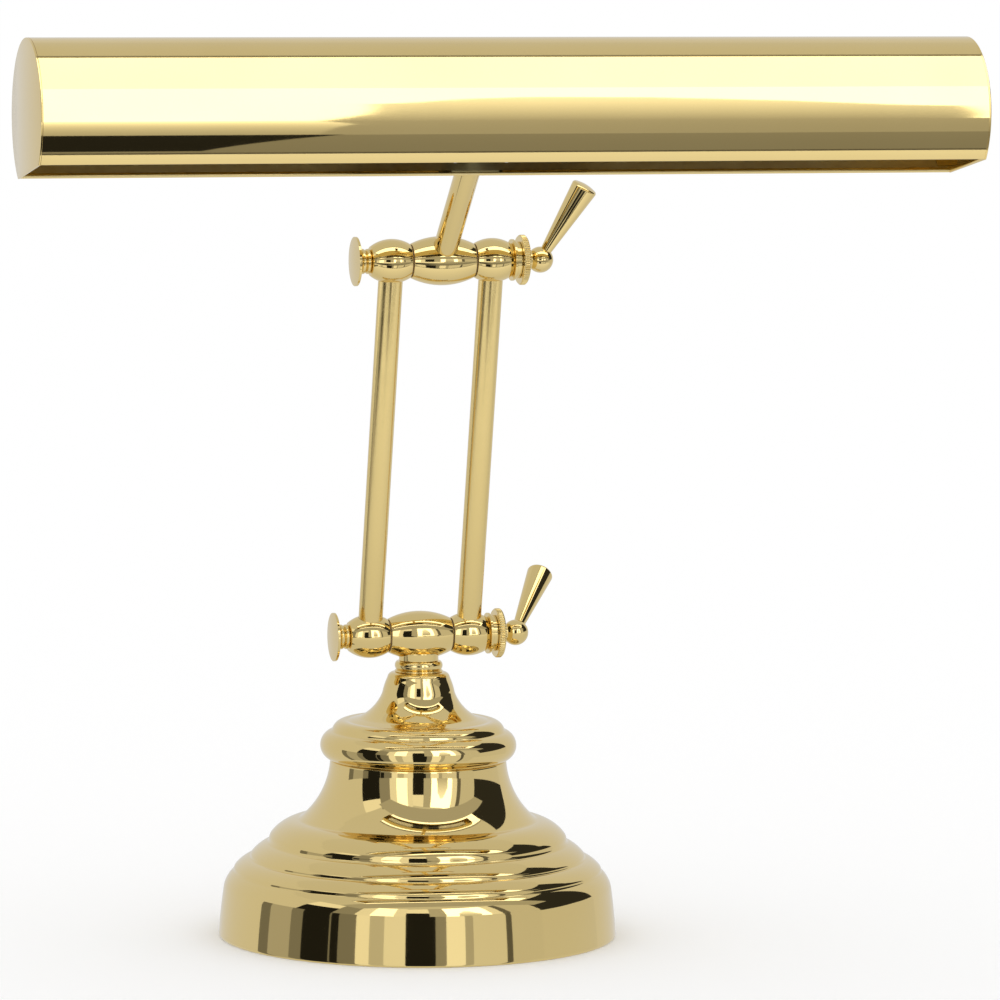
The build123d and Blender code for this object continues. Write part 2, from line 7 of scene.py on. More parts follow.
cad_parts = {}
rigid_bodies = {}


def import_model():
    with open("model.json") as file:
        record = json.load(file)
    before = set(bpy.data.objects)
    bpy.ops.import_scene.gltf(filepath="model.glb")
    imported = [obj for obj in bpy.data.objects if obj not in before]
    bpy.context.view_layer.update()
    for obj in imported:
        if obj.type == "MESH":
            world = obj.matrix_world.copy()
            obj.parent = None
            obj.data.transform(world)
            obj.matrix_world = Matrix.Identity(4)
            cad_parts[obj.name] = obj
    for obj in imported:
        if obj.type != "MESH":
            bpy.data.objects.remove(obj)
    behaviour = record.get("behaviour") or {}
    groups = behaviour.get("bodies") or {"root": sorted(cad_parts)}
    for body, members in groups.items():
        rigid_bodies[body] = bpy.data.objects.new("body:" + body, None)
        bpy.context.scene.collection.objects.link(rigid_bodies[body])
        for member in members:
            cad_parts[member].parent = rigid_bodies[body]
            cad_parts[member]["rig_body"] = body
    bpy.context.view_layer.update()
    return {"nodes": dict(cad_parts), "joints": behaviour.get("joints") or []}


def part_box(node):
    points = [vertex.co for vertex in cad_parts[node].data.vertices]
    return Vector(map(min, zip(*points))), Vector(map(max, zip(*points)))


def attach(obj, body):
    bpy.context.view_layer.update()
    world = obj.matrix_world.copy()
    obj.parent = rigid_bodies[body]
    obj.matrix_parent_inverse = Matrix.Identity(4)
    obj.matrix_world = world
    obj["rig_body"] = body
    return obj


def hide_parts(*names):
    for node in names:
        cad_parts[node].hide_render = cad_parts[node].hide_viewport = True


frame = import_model()

# Base shell: the stepped foot that carries the lamp, one disc of sheet brass spun over a former.
# It is buffed bright and lacquered; its rim is rolled under, and the cord leaves by a hole in its back.
mm = 0.001
foot_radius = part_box("base_shell")[1].x
shell_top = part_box("base_shell")[1].z
waist_radius = 33.5 * mm
rim_height = 0.5 * mm
rim_roll = 0.4 * mm
sheet_wall = 1.2 * mm
shell_hole = 12.0 * mm
bushing_hole = 4.95 * mm
tier_softness = 0.9 * mm
shell_facets = 256
hole_facets = 48
arc_facet = radians(4)
fewest_steps = 3
sharp_turn = radians(8)
guard_share = 0.3  # guard points keep the shading flat beside a soft corner
cut_share = 0.4  # the most of a stretch that a soft corner takes
corner_steps = 6
crease = radians(40)
touch = 1e-7
noise_low = 0.3  # a noise seldom leaves this range
noise_high = 0.7
# Each tier's start, as shares of the way from waist to foot and from rim to top,
# and the bulge of the stretch that follows it, as a share of the way from waist to foot
shell_shares = (
    (1.000, 0.000, 0.004),
    (0.954, 0.276, 0.013),
    (0.866, 0.364, 0.000),
    (0.861, 0.381, 0.014),
    (0.717, 0.440, 0.000),
    (0.712, 0.457, 0.014),
    (0.554, 0.527, 0.000),
    (0.544, 0.563, 0.036),
    (0.276, 0.657, -0.064),
    (0.000, 1.000, 0.000),
)


def between(low, high, share):
    return low + share * (high - low)


def stretch(start, end, bulge):
    """Points of one stretch of an outline: straight, or an arc that stands off its chord to the right."""
    start = Vector(start)
    end = Vector(end)
    if bulge == 0:
        return [start, end]
    half_chord = (end - start).length / 2
    turn = 4 * atan(bulge / half_chord)
    radius = half_chord / sin(turn / 2)
    left = Vector((start.y - end.y, end.x - start.x)).normalized()
    centre = (start + end) / 2 + left * radius * cos(turn / 2)
    steps = max(fewest_steps, ceil(abs(turn) / arc_facet))
    spoke = start - centre
    return [centre + Matrix.Rotation(turn * step / steps, 2) @ spoke for step in range(steps + 1)]


def trimmed(run, head, tail):
    """A stretch without a little of its two ends, and with a guard point just inside each."""
    places = [0.0]
    for here, following in zip(run, run[1:]):
        places.append(places[-1] + (following - here).length)
    first = head
    last = places[-1] - tail
    wanted = {first, first + guard_share * head, last - guard_share * tail, last}
    wanted |= {place for place in places if first < place < last}
    points = []
    for place in sorted(wanted):
        step = max(index for index in range(len(run) - 1) if places[index] <= max(place, 0))
        share = (place - places[step]) / (places[step + 1] - places[step])
        points.append(run[step].lerp(run[step + 1], share))
    return points


def outline(corners, softness):
    """Closed outline through corners of radius, height and bulge of the next stretch, with soft corners."""
    runs = []
    for here, following in zip(corners, corners[1:] + corners[:1]):
        runs.append(stretch(here[:2], following[:2], here[2] if len(here) > 2 else 0))
    lengths = [sum((end - start).length for start, end in zip(run, run[1:])) for run in runs]
    cuts = []
    for index, run in enumerate(runs):
        before = runs[index - 1]
        turn = (before[-1] - before[-2]).angle(run[1] - run[0])
        soft = turn > sharp_turn and run[0].x > touch
        longest = cut_share * min(lengths[index - 1], lengths[index])
        cuts.append(min(softness, longest) if soft else 0)
    stretches = [
        trimmed(run, cuts[index], cuts[(index + 1) % len(runs)]) for index, run in enumerate(runs)
    ]
    points = []
    for index, run in enumerate(stretches):
        following = (index + 1) % len(stretches)
        corner = runs[following][0]
        points += run
        if cuts[following]:
            start = run[-1]
            end = stretches[following][0]
            for step in range(1, corner_steps):
                share = step / corner_steps
                points.append(start.lerp(corner, share).lerp(corner.lerp(end, share), share))
    pairs = zip(points, points[-1:] + points[:-1])
    return [here for here, before in pairs if (here - before).length > touch]


def creased(mesh):
    """Mesh with smooth shading and true creases."""
    mesh.shade_smooth()
    mesh.set_sharp_from_angle(angle=crease)
    return mesh


def smooth_mesh(name, points, faces):
    """New mesh of points and faces, smooth between its creases."""
    mesh = bpy.data.meshes.new(name)
    mesh.from_pydata(points, [], faces)
    return creased(mesh)


def spun(name, corners, softness, facets):
    """Mesh of a closed outline of radius and height, turned about Z."""
    points = []
    rings = []
    for radius, height in outline(corners, softness):
        if radius < touch:
            rings.append([len(points)] * facets)
            points.append((0, 0, height))
        else:
            rings.append(range(len(points), len(points) + facets))
            turns = [2 * pi * facet / facets for facet in range(facets)]
            points += [(radius * cos(turn), radius * sin(turn), height) for turn in turns]
    faces = []
    for lower, upper in zip(rings, rings[1:] + rings[:1]):
        for facet in range(facets):
            following = (facet + 1) % facets
            corner_points = (lower[facet], lower[following], upper[following], upper[facet])
            face = list(dict.fromkeys(corner_points))
            if len(face) > 2:
                faces.append(face)
    return smooth_mesh(name, points, faces)


def in_scene(name, data):
    """New object in the scene."""
    item = bpy.data.objects.new(name, data)
    bpy.context.scene.collection.objects.link(item)
    return item


def settled(blank):
    """Plain mesh of what an object's modifiers make of it; the object itself is taken away."""
    bpy.context.view_layer.update()
    mesh = bpy.data.meshes.new_from_object(blank.evaluated_get(bpy.context.evaluated_depsgraph_get()))
    mesh.name = blank.data.name
    bpy.data.objects.remove(blank)
    return mesh


def reworked(mesh, tool, operation):
    """Mesh joined to, or cut by, the mesh of a tool."""
    blank = in_scene("blank", mesh)
    cutter = in_scene("cutter", tool)
    change = blank.modifiers.new("change", "BOOLEAN")
    change.solver = "EXACT"
    change.operation = operation
    change.object = cutter
    result = settled(blank)
    bpy.data.objects.remove(cutter)
    return creased(result)


def linear(hex_colour):
    """Linear colour of an sRGB hex value."""
    shares = [int(hex_colour[place:place + 2], 16) / 255 for place in (1, 3, 5)]
    levels = [share / 12.92 if share <= 0.04045 else ((share + 0.055) / 1.055) ** 2.4 for share in shares]
    return levels + [1.0]


def add_node(tree, kind, settings):
    """Adds a node and sets its properties and sockets; a socket takes a value or another node's output."""
    node = tree.nodes.new(kind)
    for name, value in settings.items():
        if isinstance(value, bpy.types.NodeSocket):
            tree.links.new(value, node.inputs[name])
        elif isinstance(name, int) or name in node.inputs:
            node.inputs[name].default_value = value
        else:
            setattr(node, name, value)
    return node


def new_finish(name, settings):
    """New material with its shader set; also its node tree, shader and object coordinates."""
    material = bpy.data.materials.new(name)
    material.use_nodes = True
    tree = material.node_tree
    shader = tree.nodes["Principled BSDF"]
    for socket, value in settings.items():
        shader.inputs[socket].default_value = value
    place = add_node(tree, "ShaderNodeTexCoord", {}).outputs["Object"]
    return material, tree, shader, place


def break_up(tree, shader, tones, tone_noise, roughs, rough_noise, relief):
    """Varies a shader's colour between two tones and its gloss between two limits, and adds a relief."""
    tone = add_node(tree, "ShaderNodeMix", {
        "data_type": "RGBA", 0: tone_noise, 6: linear(tones[0]), 7: linear(tones[1]),
    })
    roughness = add_node(tree, "ShaderNodeMapRange", {
        "Value": rough_noise, "From Min": noise_low, "From Max": noise_high,
        "To Min": roughs[0], "To Max": roughs[1],
    })
    tree.links.new(tone.outputs[2], shader.inputs["Base Color"])
    tree.links.new(roughness.outputs["Result"], shader.inputs["Roughness"])
    tree.links.new(relief.outputs["Normal"], shader.inputs["Normal"])


def polished_brass(name, dent_size, dent_height, hazed):
    """Buffed brass under clear lacquer: mirror bright, a little wavy, faintly hazed in patches."""
    tone_size = 60 * mm
    haze_size = 9 * mm
    least_haze = 0.7 * hazed
    peel_size = 1.4 * mm  # the lacquer's orange peel, drawn coarser than it is so that it shows
    peel_height = 0.0006 * mm
    material, tree, shader, place = new_finish(name, {
        "Metallic": 1.0, "Coat Weight": 0.2, "Coat Roughness": 0.02, "Coat IOR": 1.5,
    })
    tones, haze, dents, peel = (
        add_node(tree, "ShaderNodeTexNoise", {
            "Scale": 1 / size, "Detail": detail, "Vector": place,
        }).outputs["Fac"]
        for size, detail in ((tone_size, 2.0), (haze_size, 3.0), (dent_size, 1.0), (peel_size, 2.0))
    )
    dented = add_node(tree, "ShaderNodeBump", {"Strength": 1.0, "Distance": dent_height, "Height": dents})
    peeled = add_node(tree, "ShaderNodeBump", {
        "Strength": 1.0, "Distance": peel_height, "Height": peel, "Normal": dented.outputs["Normal"],
    })
    break_up(tree, shader, ("#EFD795", "#E9CF8A"), tones, (least_haze, hazed), haze, peeled)
    return material


def fit(mesh, node, finish):
    """Puts a finished mesh in the scene in its finish, on its CAD node's body, and hides the CAD node."""
    cad_node = frame["nodes"][node]
    piece = in_scene(f"{node}_finished", mesh)
    mesh.materials.clear()
    mesh.materials.append(finish)
    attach(piece, cad_node["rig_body"])
    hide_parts(node)


def walled(outer, wall):
    """Inner line of a spun sheet, from the last outer corner back to the first."""
    inner = [(radius - wall, height - wall) for radius, height, bulge in outer]
    line = [inner[-1] + (-outer[-2][2],)]
    for step in range(len(outer) - 2, 0, -1):
        line.append(inner[step] + (-outer[step - 1][2],))
    return line


def shared_line(shares, inner, outer, low, high):
    """Corners from shares of the way from inner to outer radius and from low to high, with their bulges."""
    return [
        (between(inner, outer, across), between(low, high, up), bulge * (outer - inner))
        for across, up, bulge in shares
    ]


def tube_corners(inner, outer, low, high):
    """Corners of a plain tube, or of a rod where the inner radius is 0."""
    return [(inner, low), (outer, low), (outer, high), (inner, high)]


spun_brass = polished_brass("spun_brass", dent_size=26 * mm, dent_height=0.02 * mm, hazed=0.05)
shell_line = shared_line(shell_shares, waist_radius, foot_radius, rim_height, shell_top)
shell_corners = shell_line + [(shell_hole, shell_top), (shell_hole, shell_top - sheet_wall)]
shell_corners += walled(shell_line, sheet_wall) + [(foot_radius - sheet_wall, rim_height, rim_roll)]
base_shell = spun("base_shell", shell_corners, tier_softness, shell_facets)
bushing_low, bushing_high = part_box("cord_bushing")
bushing_place = Matrix.Translation((0, 0, (bushing_low.z + bushing_high.z) / 2))
hole_tool = spun("hole_tool", tube_corners(0, bushing_hole, bushing_low.y, bushing_high.y), 0, hole_facets)
hole_tool.transform(bushing_place @ Matrix.Rotation(radians(-90), 4, "X"))
fit(reworked(base_shell, hole_tool, "DIFFERENCE"), "base_shell", spun_brass)

# Base cap: the upper half of the base, spun from the same sheet as a round ring, a bead, a cove and a bell.
# It stands on the shell's flat top and is drawn down by the centre nipple.
cap_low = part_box("base_cap")[0].z
cap_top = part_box("base_cap")[1].z
bell_flat = 9.6 * mm
nipple_hole = 4.85 * mm
cap_softness = 0.7 * mm
cap_facets = 192
cap_shares = (
    (1.000, 0.000, 0.173),
    (0.975, 0.331, 0.063),
    (0.723, 0.442, 0.000),
    (0.542, 0.478, -0.050),
    (0.176, 0.761, 0.008),
    (0.097, 0.937, 0.023),
    (0.000, 1.000, 0.000),
)


def fit_spun(node, corners, softness, facets, finish, place=Matrix()):
    """Spins a piece, puts it in its place and fits it to its node."""
    mesh = spun(node, corners, softness, facets)
    mesh.transform(place)
    fit(mesh, node, finish)


cap_line = shared_line(cap_shares, bell_flat, waist_radius, cap_low, cap_top)
cap_corners = cap_line + [(nipple_hole, cap_top), (nipple_hole, cap_top - sheet_wall)]
cap_corners += walled(cap_line, sheet_wall) + [(waist_radius - sheet_wall, cap_low)]
fit_spun("base_cap", cap_corners, cap_softness, cap_facets, spun_brass)

# Neck collar: a turned brass ring with a thin foot and a full bead, over the joint of bell and knuckle.
# It is threaded on the nipple like a bead on a string.
collar_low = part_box("neck_collar")[0].z
collar_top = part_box("neck_collar")[1].z
collar_foot_radius = 8.7 * mm
collar_foot_height = 0.8 * mm
collar_foot_bulge = 0.4 * mm
collar_bead_radius = 8.3 * mm
collar_bead_bulge = 0.8 * mm
turned_softness = 0.25 * mm
turned_facets = 128
turned_brass = polished_brass("turned_brass", dent_size=9 * mm, dent_height=0.003 * mm, hazed=0.06)
collar_step = collar_low + collar_foot_height
collar_corners = [
    (nipple_hole, collar_low),
    (collar_foot_radius, collar_low, collar_foot_bulge),
    (collar_foot_radius, collar_step),
    (collar_bead_radius, collar_step, collar_bead_bulge),
    (collar_bead_radius, collar_top),
    (nipple_hole, collar_top),
]
fit_spun("neck_collar", collar_corners, turned_softness, turned_facets, turned_brass)

# Weight, plate and felt: a cast iron slug that keeps the lamp upright, a black enamelled plate under it,
# and a disc of green wool felt glued to the plate, which is all that touches the table.
felt_softness = 0.7 * mm


def dress(finish, *nodes):
    """Gives CAD nodes that stay in sight their finish."""
    for node in nodes:
        frame["nodes"][node].material_slots[0].material = finish


def grained(name, shader_settings, tones, grain_size, grain_height, roughs):
    """Dull material with one grain that breaks up its colour, its gloss and its surface alike."""
    material, tree, shader, place = new_finish(name, shader_settings)
    grain = add_node(tree, "ShaderNodeTexNoise", {
        "Scale": 1 / grain_size, "Detail": 4.0, "Roughness": 0.6, "Vector": place,
    }).outputs["Fac"]
    bump = add_node(tree, "ShaderNodeBump", {"Strength": 1.0, "Distance": grain_height, "Height": grain})
    break_up(tree, shader, tones, grain, roughs, grain, bump)
    return material


# Sand-cast iron is pitted and dull, and stove enamel is smooth and glossy;
# felt is matted fibre that eats the light
cast_iron = grained(
    "cast_iron_raw", {"Metallic": 0.6}, ("#2A2A2B", "#4A4846"),
    grain_size=1.6 * mm, grain_height=0.15 * mm, roughs=(0.55, 0.8),
)
stove_enamel = grained(
    "stove_enamel", {"IOR": 1.5}, ("#141415", "#1C1C1D"),
    grain_size=2.5 * mm, grain_height=0.01 * mm, roughs=(0.25, 0.4),
)
wool_felt = grained(
    "wool_felt", {"Sheen Weight": 0.6}, ("#1B3A24", "#2F5638"),
    grain_size=0.9 * mm, grain_height=0.12 * mm, roughs=(0.9, 1.0),
)
felt_low, felt_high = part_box("felt_pad")
felt_corners = tube_corners(0, felt_high.x, felt_low.z, felt_high.z)
fit_spun("felt_pad", felt_corners, felt_softness, cap_facets, wool_felt)
dress(cast_iron, "base_weight")
dress(stove_enamel, "base_plate")

# Centre nipple: a brass tube threaded all along, with a zinc-plated washer and hex nut below the weight.
# It runs up through cap and collar into the knuckle's neck and draws the whole base together.
# Turned brass without lacquer has a soft shine; zinc plate is pale grey and a little cloudy.
plain_brass = grained(
    "plain_turned_brass", {"Metallic": 1.0}, ("#C9AA62", "#DCC07A"),
    grain_size=0.8 * mm, grain_height=0.01 * mm, roughs=(0.25, 0.4),
)
zinc_plate = grained(
    "zinc_plate", {"Metallic": 1.0}, ("#A9ADB0", "#C6C9C8"),
    grain_size=1.2 * mm, grain_height=0.005 * mm, roughs=(0.3, 0.45),
)
dress(plain_brass, "centre_nipple")
dress(zinc_plate, "nipple_washer", "nipple_nut")

# Cord bushing: a black nylon snap bushing in the back of the skirt, moulded, with a rounded flange.
# Its barb snaps behind the sheet, and its bore takes the lamp's cord.
# Moulded nylon is black, with a faint satin grain from its mould.
moulded_nylon = grained(
    "moulded_nylon", {"IOR": 1.53}, ("#101011", "#18181A"),
    grain_size=0.6 * mm, grain_height=0.01 * mm, roughs=(0.35, 0.5),
)
dress(moulded_nylon, "cord_bushing")

# Lower barrel: the middle of the lower knuckle, a turned brass barrel with a short neck brazed under it.
# The neck screws on the nipple, and the clamp spindle runs through the barrel.
joints = {joint["name"]: joint for joint in frame["joints"]}
lower_axis = Vector(joints["arm_swing"]["pos_m"])
spindle_bore = 2.55 * mm
barrel_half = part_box("lower_barrel")[1].x
barrel_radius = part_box("lower_barrel")[1].y
barrel_end_radius = 6.45 * mm
neck_radius = 7.5 * mm
neck_softness = 0.4 * mm
along_axis = Matrix.Rotation(radians(90), 4, "Y")


def barrel_mesh(name, place):
    """Barrel of a knuckle along X, full in the middle and bored for the spindle."""
    corners = [
        (spindle_bore, -barrel_half),
        (barrel_end_radius, -barrel_half, barrel_radius - barrel_end_radius),
        (barrel_end_radius, barrel_half),
        (spindle_bore, barrel_half),
    ]
    mesh = spun(name, corners, turned_softness, turned_facets)
    mesh.transform(place @ along_axis)
    return mesh


lower_place = Matrix.Translation(lower_axis)
neck_corners = tube_corners(nipple_hole, neck_radius, collar_top, lower_axis.z - barrel_end_radius)
neck = spun("neck", neck_corners, neck_softness, turned_facets)
lower_barrel = reworked(barrel_mesh("lower_barrel", lower_place), neck, "UNION")
fit(lower_barrel, "lower_barrel", turned_brass)

# Friction washers: discs of brown vulcanised fibre between the barrels and the balls.
# They show only as the thin dark lines at the ends of each barrel.
# Vulcanised fibre is dull and a mottled brown.
vulcanised_fibre = grained(
    "vulcanised_fibre", {}, ("#64502F", "#80683F"),
    grain_size=0.7 * mm, grain_height=0.02 * mm, roughs=(0.7, 0.85),
)
dress(vulcanised_fibre, "lower_friction_washers", "upper_friction_washers")

# Arms: two parallel brass tubes, drawn, polished and lacquered, each soldered into a ball at both ends.
# They lean forwards a little, and the wires run up inside one of them.
upper_axis = Vector(joints["head_tilt"]["pos_m"])
arm_run = upper_axis - lower_axis
arm_lean = atan2(-arm_run.y, arm_run.z)
lower_arms = lower_place @ Matrix.Rotation(arm_lean, 4, "X")
upper_arms = lower_arms @ Matrix.Translation((0, 0, arm_run.length))
arm_wall = 1.0 * mm
seat_web = 4.0 * mm  # from a knuckle's axis to the tube's end in its seat
tube_softness = 0.2 * mm
tube_facets = 96
sides = (("left", -1), ("right", 1))


def ends(node):
    """Where a node starts and ends along X."""
    low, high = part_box(node)
    return low.x, high.x


arm_start, arm_end = ends("right_arm")
arm_offset = (arm_start + arm_end) / 2
arm_radius = (arm_end - arm_start) / 2
arm_corners = tube_corners(arm_radius - arm_wall, arm_radius, seat_web, arm_run.length - seat_web)
# A drawn tube keeps a fine haze under its lacquer, so that what it mirrors is soft
drawn_brass = polished_brass("drawn_brass", dent_size=16 * mm, dent_height=0.004 * mm, hazed=0.24)
for side, sign in sides:
    arm_place = lower_arms @ Matrix.Translation((sign * arm_offset, 0, 0))
    fit_spun(f"{side}_arm", arm_corners, tube_softness, tube_facets, drawn_brass, arm_place)

# Balls: four turned brass balls, flat where they meet the barrels, bored for the spindle and the arms.
# The outer end of each is faced off where the clamp hardware sits.
ball_radius = 8.3 * mm
ball_crown = ball_radius - barrel_end_radius
ball_half = arm_offset - ends("lower_right_ball")[0]
ball_curve = (ball_half**2 + ball_crown**2) / (2 * ball_crown)
seat_clearance = 0.05 * mm
seat_radius = arm_radius + seat_clearance
seat_corners = tube_corners(0, seat_radius, seat_web, 2 * ball_radius)
for level, knuckle, seat_turn in (("lower", lower_arms, 0.0), ("upper", upper_arms, pi)):
    for side, sign in sides:
        node = f"{level}_{side}_ball"
        first, last = sorted(sign * (abs(end) - arm_offset) for end in ends(node))
        first_radius, last_radius = (
            ball_radius - ball_curve + sqrt(ball_curve**2 - end**2) for end in (first, last)
        )
        chord = sqrt((last - first) ** 2 + (last_radius - first_radius) ** 2)
        ball_corners = [
            (spindle_bore, first),
            (first_radius, first, ball_curve - sqrt(ball_curve**2 - chord**2 / 4)),
            (last_radius, last),
            (spindle_bore, last),
        ]
        ball = spun(node, ball_corners, turned_softness, turned_facets)
        ball.transform(along_axis)
        seat = spun("seat", seat_corners, 0, tube_facets)
        seat.transform(Matrix.Rotation(seat_turn, 4, "X"))
        ball = reworked(ball, seat, "DIFFERENCE")
        ball.transform(knuckle @ Matrix.Translation((sign * arm_offset, 0, 0)))
        fit(ball, node, turned_brass)

# Clamp screws: a thin domed brass disc on a long spindle that runs through the whole knuckle.
# Two fine beads, turned on a collar of their own, stand between the disc and the left ball.
spindle_radius = 2.5 * mm
disc_radius = 9.2 * mm
disc_back_radius = 4.4 * mm
disc_back_depth = 1.2 * mm
disc_rim = 0.9 * mm
bead_groove = 3.9 * mm
bead_bulge = 0.8 * mm
bead_count = 2
fine_softness = 0.12 * mm
knuckles = (("lower", lower_arms), ("upper", upper_arms))


def dome_bulge(radius, height):
    """Bulge of the arc from a dome's edge to its top that keeps the dome part of a sphere."""
    sphere = (radius**2 + height**2) / (2 * height)
    return sphere - sqrt(sphere**2 - (radius**2 + height**2) / 4)


for level, knuckle in knuckles:
    on_axis = knuckle @ along_axis
    disc_face, spindle_end = ends(f"{level}_clamp_screw")
    disc_back, ball_end = ends(f"{level}_beaded_collar")
    disc_edge = disc_back - disc_back_depth
    disc_dome = disc_edge - disc_rim - disc_face
    screw_corners = [
        (0, disc_face, dome_bulge(disc_radius, disc_dome)),
        (disc_radius, disc_edge - disc_rim),
        (disc_radius, disc_edge),
        (disc_back_radius, disc_back),
        (spindle_radius, disc_back),
        (spindle_radius, spindle_end),
        (0, spindle_end),
    ]
    fit_spun(f"{level}_clamp_screw", screw_corners, fine_softness, turned_facets, turned_brass, on_axis)
    bead_ends = [between(disc_back, ball_end, step / bead_count) for step in range(bead_count + 1)]
    bead_corners = [(spindle_bore, disc_back)] + [(bead_groove, end, bead_bulge) for end in bead_ends[:-1]]
    bead_corners += [(bead_groove, ball_end), (spindle_bore, ball_end)]
    fit_spun(f"{level}_beaded_collar", bead_corners, fine_softness, turned_facets, turned_brass, on_axis)

# Flange rings and knurled nuts: a thin brass flange on a hub faces each right ball, with a nut beside it.
# The nut's rim is straight-knurled for the fingers, and its faces are chamfered.
flange_radius = 7.8 * mm
flange_thickness = 0.9 * mm
hub_radius = 6.9 * mm
knurl_count = 60
knurl_depth = 0.35 * mm
knurl_land = 0.5 * mm
facets_per_groove = 8


def half_depth(node):
    """Half of a node's depth, which is the radius of a piece that lies along X."""
    low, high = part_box(node)
    return (high.y - low.y) / 2


def new_tree(name, sockets):
    """New geometry tree with inputs of the given kinds; also those inputs, to link from."""
    tree = bpy.data.node_groups.new(name, "GeometryNodeTree")
    for socket, kind in sockets.items():
        tree.interface.new_socket(socket, in_out="INPUT", socket_type=f"NodeSocket{kind}")
    tree.interface.new_socket("Geometry", in_out="OUTPUT", socket_type="NodeSocketGeometry")
    return tree, add_node(tree, "NodeGroupInput", {}).outputs


def ended_tree(tree, geometry, finish):
    """Geometry tree with its end: all of it real geometry, in its finish."""
    whole = add_node(tree, "GeometryNodeRealizeInstances", {"Geometry": geometry})
    dressed = add_node(tree, "GeometryNodeSetMaterial", {
        "Geometry": whole.outputs["Geometry"], "Material": finish,
    })
    add_node(tree, "NodeGroupOutput", {"Geometry": dressed.outputs["Geometry"]})
    return tree


def grooved_rim_tree():
    """Presses even grooves along Z into the rim of a turned piece that stands on the Z axis."""
    tree, given = new_tree("grooved_rim", {
        "Geometry": "Geometry", "Grooves": "Float", "Depth": "Float", "Inner radius": "Float",
        "Low end": "Float", "High end": "Float", "Narrowness": "Float", "Finish": "Material",
    })
    position = add_node(tree, "GeometryNodeInputPosition", {}).outputs["Position"]
    x, y, z = add_node(tree, "ShaderNodeSeparateXYZ", {"Vector": position}).outputs
    across = add_node(tree, "ShaderNodeCombineXYZ", {"X": x, "Y": y}).outputs[0]
    radius = add_node(tree, "ShaderNodeVectorMath", {"operation": "LENGTH", 0: across}).outputs["Value"]
    outward = add_node(tree, "ShaderNodeVectorMath", {"operation": "NORMALIZE", 0: across}).outputs[0]
    shift = add_node(tree, "ShaderNodeMath", {"operation": "ARCTAN2", 0: y, 1: x}).outputs[0]
    # From the turn about Z to a shift inwards: a wave for each groove, lifted above 0, narrowed and scaled
    for operation, second, third in (
        ("MULTIPLY", given["Grooves"], 0.0), ("COSINE", 0.0, 0.0), ("MULTIPLY_ADD", 0.5, 0.5),
        ("POWER", given["Narrowness"], 0.0), ("MULTIPLY", given["Depth"], 0.0), ("MULTIPLY", -1.0, 0.0),
    ):
        settings = {"operation": operation, 0: shift, 1: second, 2: third}
        shift = add_node(tree, "ShaderNodeMath", settings).outputs[0]
    for operation, place, limit in (
        ("GREATER_THAN", radius, "Inner radius"),
        ("GREATER_THAN", z, "Low end"),
        ("LESS_THAN", z, "High end"),
    ):
        settings = {"operation": operation, 0: place, 1: given[limit]}
        inside = add_node(tree, "ShaderNodeMath", settings).outputs[0]
        shift = add_node(tree, "ShaderNodeMath", {"operation": "MULTIPLY", 0: shift, 1: inside}).outputs[0]
    offset = add_node(tree, "ShaderNodeVectorMath", {"operation": "SCALE", 0: outward, "Scale": shift})
    moved = add_node(tree, "GeometryNodeSetPosition", {
        "Geometry": given["Geometry"], "Offset": offset.outputs["Vector"],
    })
    return ended_tree(tree, moved.outputs["Geometry"], given["Finish"])


def grown(mesh, tree, inputs):
    """Plain mesh of what a geometry tree makes of a mesh, with the tree's inputs set by name."""
    blank = in_scene("blank", mesh)
    growth = blank.modifiers.new("growth", "NODES")
    growth.node_group = tree
    for socket in tree.interface.items_tree:
        if socket.in_out == "INPUT" and socket.name in inputs:
            growth[socket.identifier] = inputs[socket.name]
    return settled(blank)


grooved_rim = grooved_rim_tree()
for level, knuckle in knuckles:
    on_axis = knuckle @ along_axis
    flange_face, flange_end = ends(f"{level}_flange_ring")
    flange_back = flange_face + flange_thickness
    flange_corners = [
        (spindle_bore, flange_face),
        (flange_radius, flange_face),
        (flange_radius, flange_back),
        (hub_radius, flange_back),
        (hub_radius, flange_end),
        (spindle_bore, flange_end),
    ]
    fit_spun(f"{level}_flange_ring", flange_corners, fine_softness, turned_facets, turned_brass, on_axis)
    node = f"{level}_knurled_nut"
    nut_face, nut_end = ends(node)
    nut_radius = half_depth(node)
    nut_corners = [
        (spindle_bore, nut_face),
        (nut_radius - knurl_land, nut_face),
        (nut_radius, nut_face + knurl_land),
        (nut_radius, nut_end - knurl_land),
        (nut_radius - knurl_land, nut_end),
        (spindle_bore, nut_end),
    ]
    blank_nut = spun(node, nut_corners, fine_softness, knurl_count * facets_per_groove)
    nut = grown(blank_nut, grooved_rim, {
        "Grooves": float(knurl_count), "Depth": knurl_depth, "Inner radius": nut_radius - knurl_depth,
        "Low end": nut_face, "High end": nut_end, "Narrowness": 1.0, "Finish": turned_brass,
    })
    nut.transform(on_axis)
    fit(nut, node, turned_brass)

# Clamp levers: a brass ball on a short boss screws on the spindle; a tapered handle screws into the ball.
# The handle is slim at its root and swells to a rounded tip, and splays outwards.
boss_radius = 3.2 * mm
lever_ball_radius = 4.9 * mm
lever_flat_radius = 2.4 * mm
lever_spigot_radius = 1.2 * mm
lever_spigot_length = 1.4 * mm
lever_root_radius = 2.1 * mm
lever_tip_radius = 5.0 * mm
lever_length = 33.2 * mm
lever_edge = 1.0 * mm
lever_edge_bulge = 0.25 * mm
lever_dome = 0.6 * mm
lever_splay = radians(28)
lever_headings = {"lower": radians(-57.5), "upper": radians(2.5)}
bore_clearance = 0.1 * mm
overrun = 1.0 * mm
lever_seat = sqrt(lever_ball_radius**2 - lever_flat_radius**2)
spigot_end = lever_seat - lever_spigot_length
handle_edge = lever_length - lever_dome
spigot_corners = [(0, spigot_end), (lever_spigot_radius, spigot_end), (lever_spigot_radius, lever_seat)]
